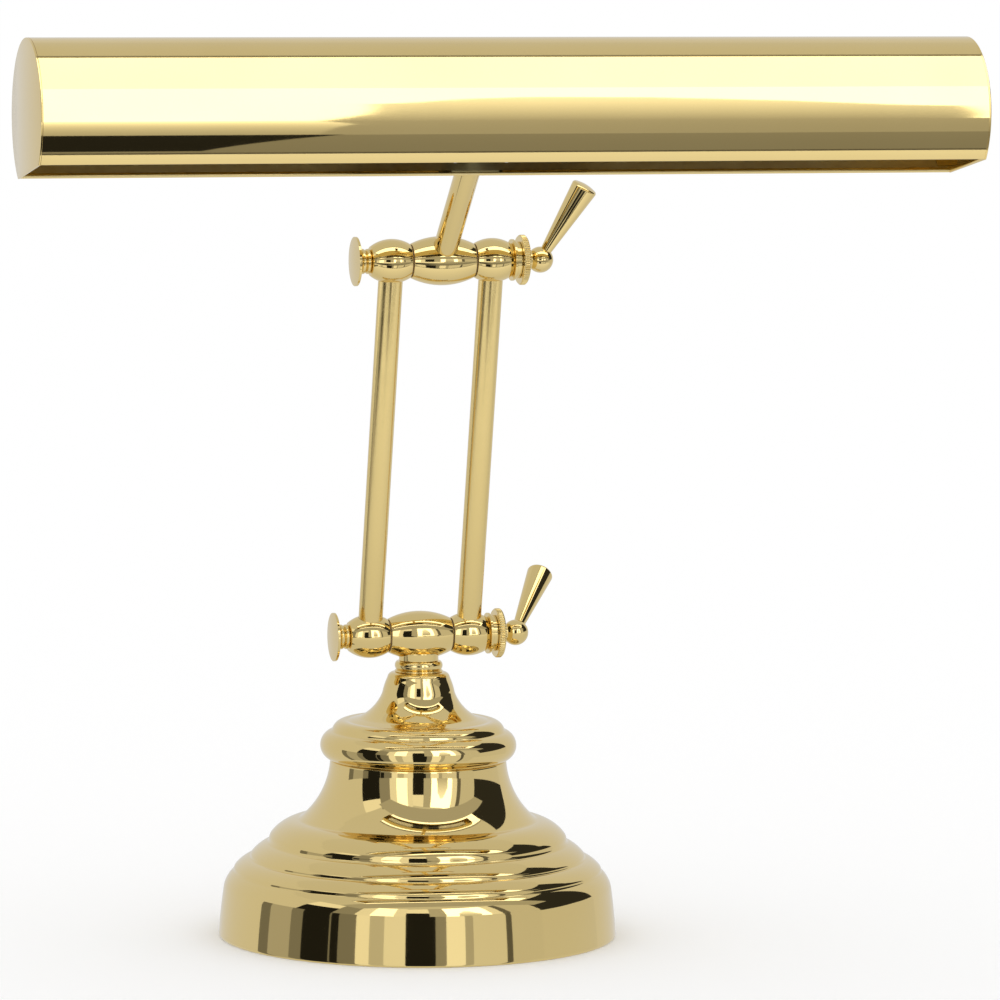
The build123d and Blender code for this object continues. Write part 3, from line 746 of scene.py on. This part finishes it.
facing_corners = spigot_corners + [
    (lever_flat_radius + overrun, lever_seat),
    (lever_flat_radius + overrun, lever_ball_radius + overrun),
    (0, lever_ball_radius + overrun),
]
handle_corners = spigot_corners + [
    (lever_root_radius, lever_seat),
    (lever_tip_radius, handle_edge - lever_edge, lever_edge_bulge),
    (lever_tip_radius - lever_edge, handle_edge, dome_bulge(lever_tip_radius - lever_edge, lever_dome)),
    (0, lever_length),
]
for level, knuckle in knuckles:
    boss_face = ends(f"{level}_lever_ball")[0]
    ball_centre = joints[f"{level}_lever_turn"]["pos_m"][0]
    ball_start = ball_centre - sqrt(lever_ball_radius**2 - boss_radius**2)
    ball_end = ball_centre + lever_ball_radius
    bore_end = ends(f"{level}_clamp_screw")[1] + bore_clearance
    lever_turn = knuckle @ Matrix.Rotation(lever_headings[level], 4, "X")
    lever_place = lever_turn @ Matrix.Translation((ball_centre, 0, 0))
    lever_place = lever_place @ Matrix.Rotation(lever_splay, 4, "Y")
    lever_ball_corners = [
        (0, bore_end),
        (spindle_bore, bore_end),
        (spindle_bore, boss_face),
        (boss_radius, boss_face),
        (boss_radius, ball_start, dome_bulge(boss_radius, ball_end - ball_start)),
        (0, ball_end),
    ]
    lever_ball = spun(f"{level}_lever_ball", lever_ball_corners, fine_softness, turned_facets)
    lever_ball.transform(lever_turn @ along_axis)
    facing = spun("facing", facing_corners, 0, tube_facets)
    facing.transform(lever_place)
    fit(reworked(lever_ball, facing, "DIFFERENCE"), f"{level}_lever_ball", turned_brass)
    fit_spun(f"{level}_lever_handle", handle_corners, fine_softness, tube_facets, turned_brass, lever_place)

# Upper barrel and stem: the middle of the upper knuckle tilts with the shade; the stem is soldered into it.
# The stem is a brass tube as thick as the arms, buffed brighter, and ends in a saddle on the shade's back.
stem_tilt = radians(46.6)
stem_bore = 3.25 * mm
stem_end = 60.3 * mm  # along the stem, from the upper axis to the saddle
head_place = Matrix.Translation(upper_axis) @ Matrix.Rotation(stem_tilt, 4, "X")
stem_seat = spun("stem_seat", tube_corners(0, seat_radius, seat_web, 2 * barrel_radius), 0, tube_facets)
stem_seat.transform(head_place)
upper_barrel = reworked(barrel_mesh("upper_barrel", head_place), stem_seat, "DIFFERENCE")
fit(upper_barrel, "upper_barrel", turned_brass)
stem_corners = tube_corners(stem_bore, arm_radius, seat_web, stem_end)
fit_spun("stem", stem_corners, tube_softness, tube_facets, turned_brass, head_place)
dress(turned_brass, "stem_saddle")

# Shade shell: a long trough rolled from sheet brass, polished outside, open along its underside.
# Both long edges are folded in as a flat hem, which leaves a round bright line.
shade_axis = Vector(joints["switch_turn"]["pos_m"])
switch_axis = Vector(joints["switch_turn"]["axis"])
switch_lean = radians(60)  # from the crown towards the back
mouth_tilt = atan2(switch_axis.y, switch_axis.z) - switch_lean
shade_place = Matrix.Translation(shade_axis) @ Matrix.Rotation(-mouth_tilt, 4, "X")
shade_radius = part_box("shade_shell")[1].z - shade_axis.z
shade_wall = 0.8 * mm
hem_thickness = 0.6 * mm
hem_depth = 1.7 * mm
hem_softness = 0.45 * mm
mouth_half_angle = radians(45)
shade_left, shade_right = ends("shade_shell")


def section_point(radius, turn):
    """Point across the shade, by its turn from the crown towards the back."""
    return (radius * sin(turn), radius * cos(turn))


def section_arc(radius, start, end):
    """Corner at the start of an arc about the shade's axis, with the bulge that carries it to the end."""
    half = (start - end) / 2
    return section_point(radius, start) + (radius * (1 - cos(half)) * (1 if half > 0 else -1),)


def outline_across(corners, softness):
    """Outline softened as on a turned piece, but far from its axis, so that no corner stays sharp."""
    away = 1.0
    moved = [(corner[0] + away,) + tuple(corner[1:]) for corner in corners]
    return [(point.x - away, point.y) for point in outline(moved, softness)]


def drawn_out(name, corners, softness, start, end):
    """Mesh of a closed outline across the shade, drawn out along X."""
    line = outline_across(corners, softness)
    count = len(line)
    points = [(x, y, z) for x in (start, end) for y, z in line]
    faces = [(step, (step + 1) % count, (step + 1) % count + count, step + count) for step in range(count)]
    faces += [tuple(range(count))[::-1], tuple(range(count, 2 * count))]
    return smooth_mesh(name, points, faces)


mouth_turn = pi - mouth_half_angle
inner_radius = shade_radius - shade_wall
hem_radius = inner_radius - hem_thickness
hem_turn = hem_depth / shade_radius
shell_section = [
    section_arc(shade_radius, mouth_turn, 0),
    section_arc(shade_radius, 0, -mouth_turn),
    section_point(shade_radius, -mouth_turn),
    section_arc(hem_radius, -mouth_turn, -mouth_turn + hem_turn),
    section_point(hem_radius, -mouth_turn + hem_turn),
    section_arc(inner_radius, -mouth_turn + hem_turn, 0),
    section_arc(inner_radius, 0, mouth_turn - hem_turn),
    section_point(inner_radius, mouth_turn - hem_turn),
    section_arc(hem_radius, mouth_turn - hem_turn, mouth_turn),
    section_point(hem_radius, mouth_turn),
]
rolled_brass = polished_brass("rolled_brass", dent_size=45 * mm, dent_height=0.03 * mm, hazed=0.06)
shade_shell = drawn_out("shade_shell", shell_section, hem_softness, shade_left, shade_right)
shade_shell.transform(shade_place)
fit(shade_shell, "shade_shell", rolled_brass)
# Inside, the sheet is left as it came from the rolls: satin, and a little darker and paler than the
# outside, partly as painted shade for the inside of the trough
satin_brass = grained(
    "satin_brass", {"Metallic": 1.0}, ("#D8C590", "#E4D4A2"),
    grain_size=4 * mm, grain_height=0.01 * mm, roughs=(0.38, 0.5),
)
shade_shell.materials.append(satin_brass)
for face in shade_shell.polygons:
    to_axis = (shade_axis - face.center) * Vector((0, 1, 1))
    inside = face.normal.dot(to_axis) > 0 and to_axis.length > (hem_radius + inner_radius) / 2
    face.material_index = 1 if inside else 0

# End caps: flat blanks of the same sheet that close the trough, each soldered by a flange inside the shell.
# Their faces are buffed flat, and their rims are eased so that a fine seam shows.
cap_wall = 0.8 * mm
cap_flange_depth = 4.0 * mm
cap_flange_thickness = 0.6 * mm
cap_flange_stop = 2.55 * mm  # from the mouth's edge, so that the hem passes
cap_ease = 0.25 * mm
ease_steps = 3
flange_outer = inner_radius - seat_clearance
flange_inner = flange_outer - cap_flange_thickness
flange_turn = mouth_turn - cap_flange_stop / shade_radius
cap_section = [
    section_arc(shade_radius, mouth_turn, 0),
    section_arc(shade_radius, 0, -mouth_turn),
    section_point(shade_radius, -mouth_turn),
]
cap_flange_section = [
    section_arc(flange_outer, flange_turn, 0),
    section_arc(flange_outer, 0, -flange_turn),
    section_point(flange_outer, -flange_turn),
    section_arc(flange_inner, -flange_turn, 0),
    section_arc(flange_inner, 0, flange_turn),
    section_point(flange_inner, flange_turn),
]
for side, outside, inward in (("left", shade_left - cap_wall, 1), ("right", shade_right + cap_wall, -1)):
    inside = outside + inward * cap_wall
    buried = inside - inward * cap_wall / 2
    flange_reach = inside + inward * cap_flange_depth
    eased = in_scene("eased", drawn_out("cap_blank", cap_section, 0, *sorted((outside, inside))))
    easing = eased.modifiers.new("easing", "BEVEL")
    easing.width = cap_ease
    easing.segments = ease_steps
    easing.limit_method = "ANGLE"
    easing.angle_limit = crease
    cap_flange = drawn_out("cap_flange", cap_flange_section, 0, *sorted((buried, flange_reach)))
    end_cap = reworked(settled(eased), cap_flange, "UNION")
    end_cap.transform(shade_place)
    end_cap.name = f"{side}_end_cap"
    fit(end_cap, f"{side}_end_cap", rolled_brass)

# Stem hardware and yoke: a nipple, washer and hex nut clamp the shade and a bent steel strap on the stem.
# The strap's two ears carry the sockets, each on one screw. All but the brass nipple is zinc plated.
dress(zinc_plate, "saddle_washer", "stem_nut", "socket_yoke", "socket_screws")
dress(plain_brass, "stem_nipple")

# Sockets: two black phenolic lamp sockets, moulded, stepped at the back, with a plain lip and grip rings.
# A brass contact shell and button sit inside each.
socket_shoulder_radius = 14.5 * mm
socket_shoulder = 5.0 * mm
socket_screw_hole = 1.55 * mm
socket_screw_depth = 5.0 * mm
socket_floor = 7.0 * mm
socket_inside = 14.4 * mm
grip_groove = 0.5 * mm
grip_pitch = 2.4 * mm
grip_count = 4
# Moulded phenolic is nearly black, a little brown, with a dull gloss
phenolic = grained(
    "moulded_phenolic", {"IOR": 1.6}, ("#17120F", "#221B17"),
    grain_size=0.5 * mm, grain_height=0.008 * mm, roughs=(0.3, 0.45),
)
for side, sign in sides:
    near, far = sorted(abs(end) for end in ends(f"{side}_socket"))
    socket_radius = half_depth(f"{side}_socket")
    socket_corners = [
        (0, near + socket_screw_depth),
        (socket_screw_hole, near + socket_screw_depth),
        (socket_screw_hole, near),
        (socket_shoulder_radius, near),
        (socket_shoulder_radius, near + socket_shoulder),
        (socket_radius, near + socket_shoulder),
    ]
    for ring in range(grip_count):
        groove_start = near + socket_shoulder + (2 * ring + 1) * grip_pitch
        groove_end = groove_start + grip_pitch
        socket_corners += [
            (socket_radius, groove_start),
            (socket_radius - grip_groove, groove_start + grip_groove),
            (socket_radius - grip_groove, groove_end - grip_groove),
            (socket_radius, groove_end),
        ]
    socket_corners += [
        (socket_radius, far),
        (socket_inside, far),
        (socket_inside, near + socket_floor),
        (0, near + socket_floor),
    ]
    along_socket = shade_place @ Matrix.Rotation(sign * radians(90), 4, "Y")
    fit_spun(f"{side}_socket", socket_corners, fine_softness, turned_facets, phenolic, along_socket)
    dress(plain_brass, f"{side}_contacts")

# Bulbs: two tubular lamps, each a frosted glass tube with a domed end on a nickel-plated screw base.
# The base's thread is rolled into its sheet.
thread_wire = 0.45 * mm
thread_sink = thread_wire / 4
thread_pitch = 3.6 * mm
thread_turns = 4.0
thread_steps = 48
wire_facets = 10
bulb_base_wall = 0.5 * mm
bulb_tip_radius = 5.0 * mm
bulb_tip_length = 3.0 * mm
bulb_wall = 0.8 * mm
bulb_neck_length = 11.0 * mm
bulb_neck_bulge = 0.5 * mm
bulb_dome = 12.0 * mm
# Nickel plate is bright and slightly warm; glass frosted inside is milky and keeps a soft gloss
nickel = grained(
    "nickel_plate", {"Metallic": 1.0}, ("#C9C4B8", "#DAD6CC"),
    grain_size=1.0 * mm, grain_height=0.004 * mm, roughs=(0.18, 0.3),
)
frosted_glass = grained(
    "frosted_glass", {"IOR": 1.5, "Transmission Weight": 0.35}, ("#F1EFE9", "#FAF9F5"),
    grain_size=0.8 * mm, grain_height=0.006 * mm, roughs=(0.35, 0.5),
)


def thread_tree():
    """Adds a round helical ridge along Z to a turned piece."""
    tree, given = new_tree("rolled_thread", {
        "Geometry": "Geometry", "Turns": "Float", "Steps": "Int", "Radius": "Float",
        "Height": "Float", "Start": "Vector", "Wire": "Float", "Finish": "Material",
    })
    spiral = add_node(tree, "GeometryNodeCurveSpiral", {
        "Resolution": given["Steps"], "Rotations": given["Turns"], "Start Radius": given["Radius"],
        "End Radius": given["Radius"], "Height": given["Height"],
    })
    wire = add_node(tree, "GeometryNodeCurvePrimitiveCircle", {
        "Resolution": wire_facets, "Radius": given["Wire"],
    })
    ridge = add_node(tree, "GeometryNodeCurveToMesh", {
        "Curve": spiral.outputs["Curve"], "Profile Curve": wire.outputs["Curve"], "Fill Caps": True,
    })
    lifted = add_node(tree, "GeometryNodeTransform", {
        "Geometry": ridge.outputs["Mesh"], "Translation": given["Start"],
    })
    both = add_node(tree, "GeometryNodeJoinGeometry", {"Geometry": given["Geometry"]})
    tree.links.new(lifted.outputs["Geometry"], both.inputs["Geometry"])
    return ended_tree(tree, both.outputs["Geometry"], given["Finish"])


rolled_thread = thread_tree()
for side, sign in sides:
    tip_end, seat = sorted(abs(end) for end in ends(f"{side}_bulb_base"))
    dome_end = max(abs(end) for end in ends(f"{side}_bulb_glass"))
    base_radius = half_depth(f"{side}_bulb_base")
    bulb_radius = half_depth(f"{side}_bulb_glass")
    along_bulb = shade_place @ Matrix.Rotation(sign * radians(90), 4, "Y")
    skirt = tip_end + bulb_tip_length
    bulb_base_corners = [
        (0, tip_end),
        (bulb_tip_radius, tip_end),
        (base_radius, skirt),
        (base_radius, seat),
        (base_radius - bulb_base_wall, seat),
        (base_radius - bulb_base_wall, skirt),
        (0, skirt),
    ]
    blank_base = spun(f"{side}_bulb_base", bulb_base_corners, fine_softness, turned_facets)
    bulb_base = grown(blank_base, rolled_thread, {
        "Turns": thread_turns, "Steps": thread_steps, "Radius": base_radius - thread_sink,
        "Height": thread_turns * thread_pitch, "Start": (0.0, 0.0, skirt + thread_pitch),
        "Wire": thread_wire, "Finish": nickel,
    })
    creased(bulb_base).transform(along_bulb)
    fit(bulb_base, f"{side}_bulb_base", nickel)
    shoulder = dome_end - bulb_dome
    body = seat + bulb_neck_length
    bulb_inside = bulb_radius - bulb_wall
    glass_corners = [
        (base_radius - bulb_wall, seat),
        (base_radius, seat, -bulb_neck_bulge),
        (bulb_radius, body),
        (bulb_radius, shoulder, dome_bulge(bulb_radius, bulb_dome)),
        (0, dome_end),
        (0, dome_end - bulb_wall, -dome_bulge(bulb_inside, bulb_dome - bulb_wall)),
        (bulb_inside, shoulder),
        (bulb_inside, body, bulb_neck_bulge),
    ]
    fit_spun(f"{side}_bulb_glass", glass_corners, fine_softness, turned_facets, frosted_glass, along_bulb)

# Switch: a rotary switch in the shade's back, held by a ring nut on its bushing, with a fluted black knob.
# Its phenolic body sits inside, clear of the bulbs.
switch_place = shade_place @ Matrix.Rotation(-switch_lean, 4, "X")
switch_softness = 0.24 * mm
ring_low = shade_radius + seat_clearance
ring_thickness = 2.5 * mm
ring_high = ring_low + ring_thickness
ring_radius = 7.0 * mm
ring_hole = 4.55 * mm
ring_grooves = 24
ring_groove_depth = 0.3 * mm
shaft_radius = 1.6 * mm
shaft_end = 19.88 * mm
knob_gap = 5.6 * mm
knob_length = 12.5 * mm
knob_low = shade_radius + knob_gap
knob_high = knob_low + knob_length
knob_waist_radius = 4.2 * mm
knob_waist = 2.5 * mm
knob_shoulder = knob_low + 2 * knob_waist
knob_dome = 0.7 * mm
knob_flutes = 14
knob_flute_depth = 0.9 * mm
facets_per_flute = 20
knob_radius = 6.0 * mm
ring_corners = tube_corners(ring_hole, ring_radius, ring_low, ring_high)
blank_ring = spun("switch_ring_nut", ring_corners, switch_softness, ring_grooves * facets_per_groove)
ring_nut = grown(blank_ring, grooved_rim, {
    "Grooves": float(ring_grooves), "Depth": ring_groove_depth, "Inner radius": ring_radius - fine_softness,
    "Low end": ring_low, "High end": ring_high, "Narrowness": 2.0, "Finish": turned_brass,
})
ring_nut.transform(switch_place)
fit(ring_nut, "switch_ring_nut", turned_brass)
knob_corners = [
    (0, shaft_end),
    (shaft_radius, shaft_end),
    (shaft_radius, knob_low),
    (knob_waist_radius, knob_low),
    (knob_waist_radius, knob_low + knob_waist, -knob_dome),
    (knob_radius, knob_shoulder),
    (knob_radius, knob_high - knob_dome),
    (knob_radius - knob_dome, knob_high, dome_bulge(knob_radius - knob_dome, knob_dome)),
    (0, knob_high + knob_dome),
]
blank_knob = spun("switch_knob", knob_corners, switch_softness, knob_flutes * facets_per_flute)
knob = grown(blank_knob, grooved_rim, {
    "Grooves": float(knob_flutes), "Depth": knob_flute_depth, "Inner radius": knob_radius - knob_dome,
    "Low end": knob_shoulder - knob_dome, "High end": knob_high, "Narrowness": 3.0, "Finish": phenolic,
})
knob.transform(switch_place)
fit(knob, "switch_knob", phenolic)
dress(phenolic, "switch_body")
dress(plain_brass, "switch_bushing")

# Camera: a long lens from the front left, a little above the shade, held nearly level.
# It stands well back, so that the shade's two ends look almost the same height.
view_turn = radians(-15)
view_rise = radians(5.8)
view_roll = radians(0.38)
view_distance = 2427.4 * mm
view_side = 30.5 * mm
view_height = 166.73 * mm
lens_length = 230.4
sensor = 36.0
clip_reach = 200.0  # past the far edge of the floor
view_back = Vector((sin(view_turn) * cos(view_rise), -cos(view_turn) * cos(view_rise), sin(view_rise)))
view_target = Vector((view_side * cos(view_turn), view_side * sin(view_turn), view_height))
lens = bpy.data.cameras.new("camera")
lens.lens = lens_length
lens.sensor_width = sensor
lens.clip_end = clip_reach
camera = in_scene("camera", lens)
camera.rotation_mode = "QUATERNION"
camera.location = view_target + view_back * view_distance
aim = (-view_back).to_track_quat("-Z", "Y")
camera.rotation_quaternion = aim @ Matrix.Rotation(view_roll, 4, "Z").to_quaternion()
scene = bpy.context.scene
scene.camera = camera

# Studio: a white floor and a white surround, soft panels in front and above, dark gaps between the panels.
# The brass shows the panels and gaps; the camera and the plain light see only the white surround.
floor_reach = 30.0
scene.view_settings.view_transform = "Standard"
world = bpy.data.worlds.new("white_surround")
world.use_nodes = True
world.node_tree.nodes["Background"].inputs["Color"].default_value = linear("#FFFFFF")
world.node_tree.nodes["Background"].inputs["Strength"].default_value = 1.0
scene.world = world


def stage_piece(name, points, faces, finish):
    """Piece of the studio, which is no part of the lamp."""
    piece = in_scene(name, smooth_mesh(name, points, faces))
    piece.data.materials.append(finish)
    return piece


floor_paper = new_finish("white_paper", {
    "Base Color": linear("#FFFFFF"), "Roughness": 0.9, "Specular IOR Level": 0.0,
})[0]
floor_points = [(x * floor_reach, y * floor_reach, 0) for x, y in ((-1, -1), (1, -1), (1, 1), (-1, 1))]
floor = stage_piece("floor", floor_points, [(0, 1, 2, 3)], floor_paper)
floor.visible_glossy = False


def panel_light(levels, edges, along):
    """Cloth that glows on one side, evenly or graded along an axis, or hardly glows and is a dark gap."""
    material = bpy.data.materials.new("lit_cloth")
    material.use_nodes = True
    tree = material.node_tree
    tree.nodes.remove(tree.nodes["Principled BSDF"])
    glow = add_node(tree, "ShaderNodeEmission", {"Color": linear("#FFFFFF"), "Strength": levels[0]})
    if levels[0] != levels[1]:
        place = add_node(tree, "ShaderNodeTexCoord", {}).outputs["Object"]
        reach = add_node(tree, "ShaderNodeSeparateXYZ", {"Vector": place}).outputs[along]
        level = add_node(tree, "ShaderNodeMapRange", {
            "Value": reach, "From Min": edges[0], "From Max": edges[1],
            "To Min": levels[0], "To Max": levels[1],
        })
        tree.links.new(level.outputs["Result"], glow.inputs["Strength"])
    behind = add_node(tree, "ShaderNodeNewGeometry", {}).outputs["Backfacing"]
    clear = add_node(tree, "ShaderNodeBsdfTransparent", {})
    faced = add_node(tree, "ShaderNodeMixShader", {
        "Fac": behind, 1: glow.outputs["Emission"], 2: clear.outputs["BSDF"],
    })
    tree.links.new(faced.outputs["Shader"], tree.nodes["Material Output"].inputs["Surface"])
    return material


def panel(name, points, faces, levels, along="Y"):
    """Studio panel that shows only in what shines; its faces glow where they wind anticlockwise."""
    reach = [point["XYZ".index(along)] for point in points]
    piece = stage_piece(name, points, faces, panel_light(levels, (min(reach), max(reach)), along))
    piece.visible_camera = False
    piece.visible_diffuse = False
    piece.visible_shadow = False


# Curved walls that face the lamp: ring, turns from the front towards the right in degrees, level of light.
# The near ring is low and shows in the base; the far ring shows in the shade and in the slopes of the base.
wall_step = radians(3)
near_ring = (0.5, -0.3, 0.126)  # radius, low edge and high edge
far_ring = (1.5, 0.1, 1.6)
whole_ring = (1.5, -1.2, 2.4)
walls = (
    ("left_end", near_ring, -140, -112, 0.70),
    ("left_line", near_ring, -112, -104, 0.19),
    ("left_wall", near_ring, -104, -88, 0.45),
    ("left_wall_end", near_ring, -88, -80, 0.22),
    ("left_gap", near_ring, -80, -57.5, 0.015),
    ("left_slit", (0.49, -0.3, 0.126), -63, -62, 0.20),
    ("left_reveal", near_ring, -57.5, -47.5, 0.22),
    ("left_panel", near_ring, -47.5, -40, 1.00),
    ("left_panel_seam", near_ring, -40, -32, 0.58),
    ("left_panel_end", near_ring, -32, -20.5, 0.90),
    ("camera_gap", near_ring, -20.5, -4.5, 0.015),
    ("right_reveal", near_ring, -4.5, 1.3, 0.30),
    ("right_panel", near_ring, 1.3, 11.5, 1.05),
    ("right_panel_seam", near_ring, 11.5, 16, 0.48),
    ("right_panel_end", near_ring, 16, 35, 0.75),
    ("right_line", near_ring, 35, 38.5, 0.12),
    ("right_wall_near", near_ring, 38.5, 52, 0.64),
    ("far_left_wall", far_ring, -128, -90, 0.70),
    ("far_left_gap", (1.5, 0.1, 1.0), -90, -65, 0.015),
    ("far_left_reveal", far_ring, -65, -51, 0.30),
    ("far_left_panel", far_ring, -51, -42, 0.95),
    ("far_left_heart", far_ring, -42, -28, 2.00),
    ("far_left_end", far_ring, -28, -21, 0.95),
    ("far_camera_gap", (1.5, 0.1, 0.9), -21, -7, 0.015),
    ("far_right_reveal", far_ring, -7, 3, 0.50),
    ("far_right_heart", far_ring, 3, 30, 2.80),
    ("far_right_end", far_ring, 30, 37, 0.95),
    ("far_right_line", far_ring, 37, 42, 0.15),
    ("right_wall", whole_ring, 42, 62, 0.64),
    ("right_gap", (1.5, 0.25, 2.4), 62, 111, 0.03),
    ("right_low", (1.5, -1.2, 0.25), 62, 111, 0.66),
    ("back_wall", whole_ring, 111, 232, 0.70),
)
for name, (radius, low, high), start, end, level in walls:
    steps = ceil(radians(end - start) / wall_step)
    turns = [between(radians(start), radians(end), step / steps) for step in range(steps + 1)]
    wall_points = [(radius * sin(turn), -radius * cos(turn), z) for z in (low, high) for turn in turns]
    wall_faces = [(step + 1, step, step + steps + 1, step + steps + 2) for step in range(steps)]
    panel(name, wall_points, wall_faces, (level, level))

# Level panels: left and right edge, front and back edge, height, side that glows, levels at front and back.
# The apron lies before the shade and below it, and only the shade's front looks down on it.
flats = (
    ("top_panel", (-0.30, 0.45), (-0.3675, -0.092), 0.55, "under", (2.2, 2.2)),
    ("top_line", (-0.30, 0.45), (-0.092, -0.076), 0.55, "under", (0.30, 0.30)),
    ("ceiling", (-1.6, 1.6), (-1.6, 1.6), 1.7, "under", (0.66, 0.66)),
    ("brow", (-0.30, 0.45), (-0.25, -0.137), 0.30, "under", (0.45, 0.45)),
    ("apron", (-0.5, 0.9), (-1.38, -0.36), 0.2, "over", (2.0, 0.52)),
    ("apron_edge", (-0.5, 0.9), (-0.36, -0.207), 0.2, "over", (0.30, 0.27)),
    ("low_line", (-0.30, 0.45), (-0.285, -0.268), 0.1, "over", (0.12, 0.12)),
    ("low_card", (-0.30, 0.45), (-0.268, -0.013), 0.1, "over", (1.00, 0.70)),
    ("table", (-1.6, 1.6), (-1.6, 1.6), -0.31, "over", (0.70, 0.70)),
)
for name, (left, right), (front, back), height, side, levels in flats:
    corners = [(left, front, height), (right, front, height), (right, back, height), (left, back, height)]
    panel(name, corners, [(0, 1, 2, 3) if side == "over" else (3, 2, 1, 0)], levels)

# Shades on the panels: the far panel falls off to its lower right, and the apron is dusky below that.
# The apron's left end lies in a deep shadow.
fall_depth = -1.37
fall_edge = (
    (0.80, 0.19), (0.225, 0.19), (0.25, 0.40), (0.27, 0.74), (0.30, 0.80), (0.345, 0.93),
    (0.39, 1.00), (0.46, 0.97), (0.52, 0.83), (0.58, 0.64), (0.66, 0.56), (0.80, 0.52),
)
panel("panel_fall", [(x, fall_depth, z) for x, z in fall_edge], [range(len(fall_edge))], (0.50, 1.45), "Z")
dusk_height = 0.2005
dusk_edge = ((-0.01, -0.36), (0.04, -0.55), (0.095, -0.75), (0.225, -1.38), (0.90, -1.38), (0.90, -0.36))
panel("apron_dusk", [(x, y, dusk_height) for x, y in dusk_edge], [range(len(dusk_edge))], (0.50, 0.44))
shadow_height = 0.201
shadow_edge = ((-0.30, -0.36), (0.0, -0.36), (-0.083, -0.215), (-0.30, -0.215))
shadow_points = [(x, y, shadow_height) for x, y in shadow_edge]
panel("apron_shadow", shadow_points, [range(len(shadow_edge))], (0.02, 0.02))
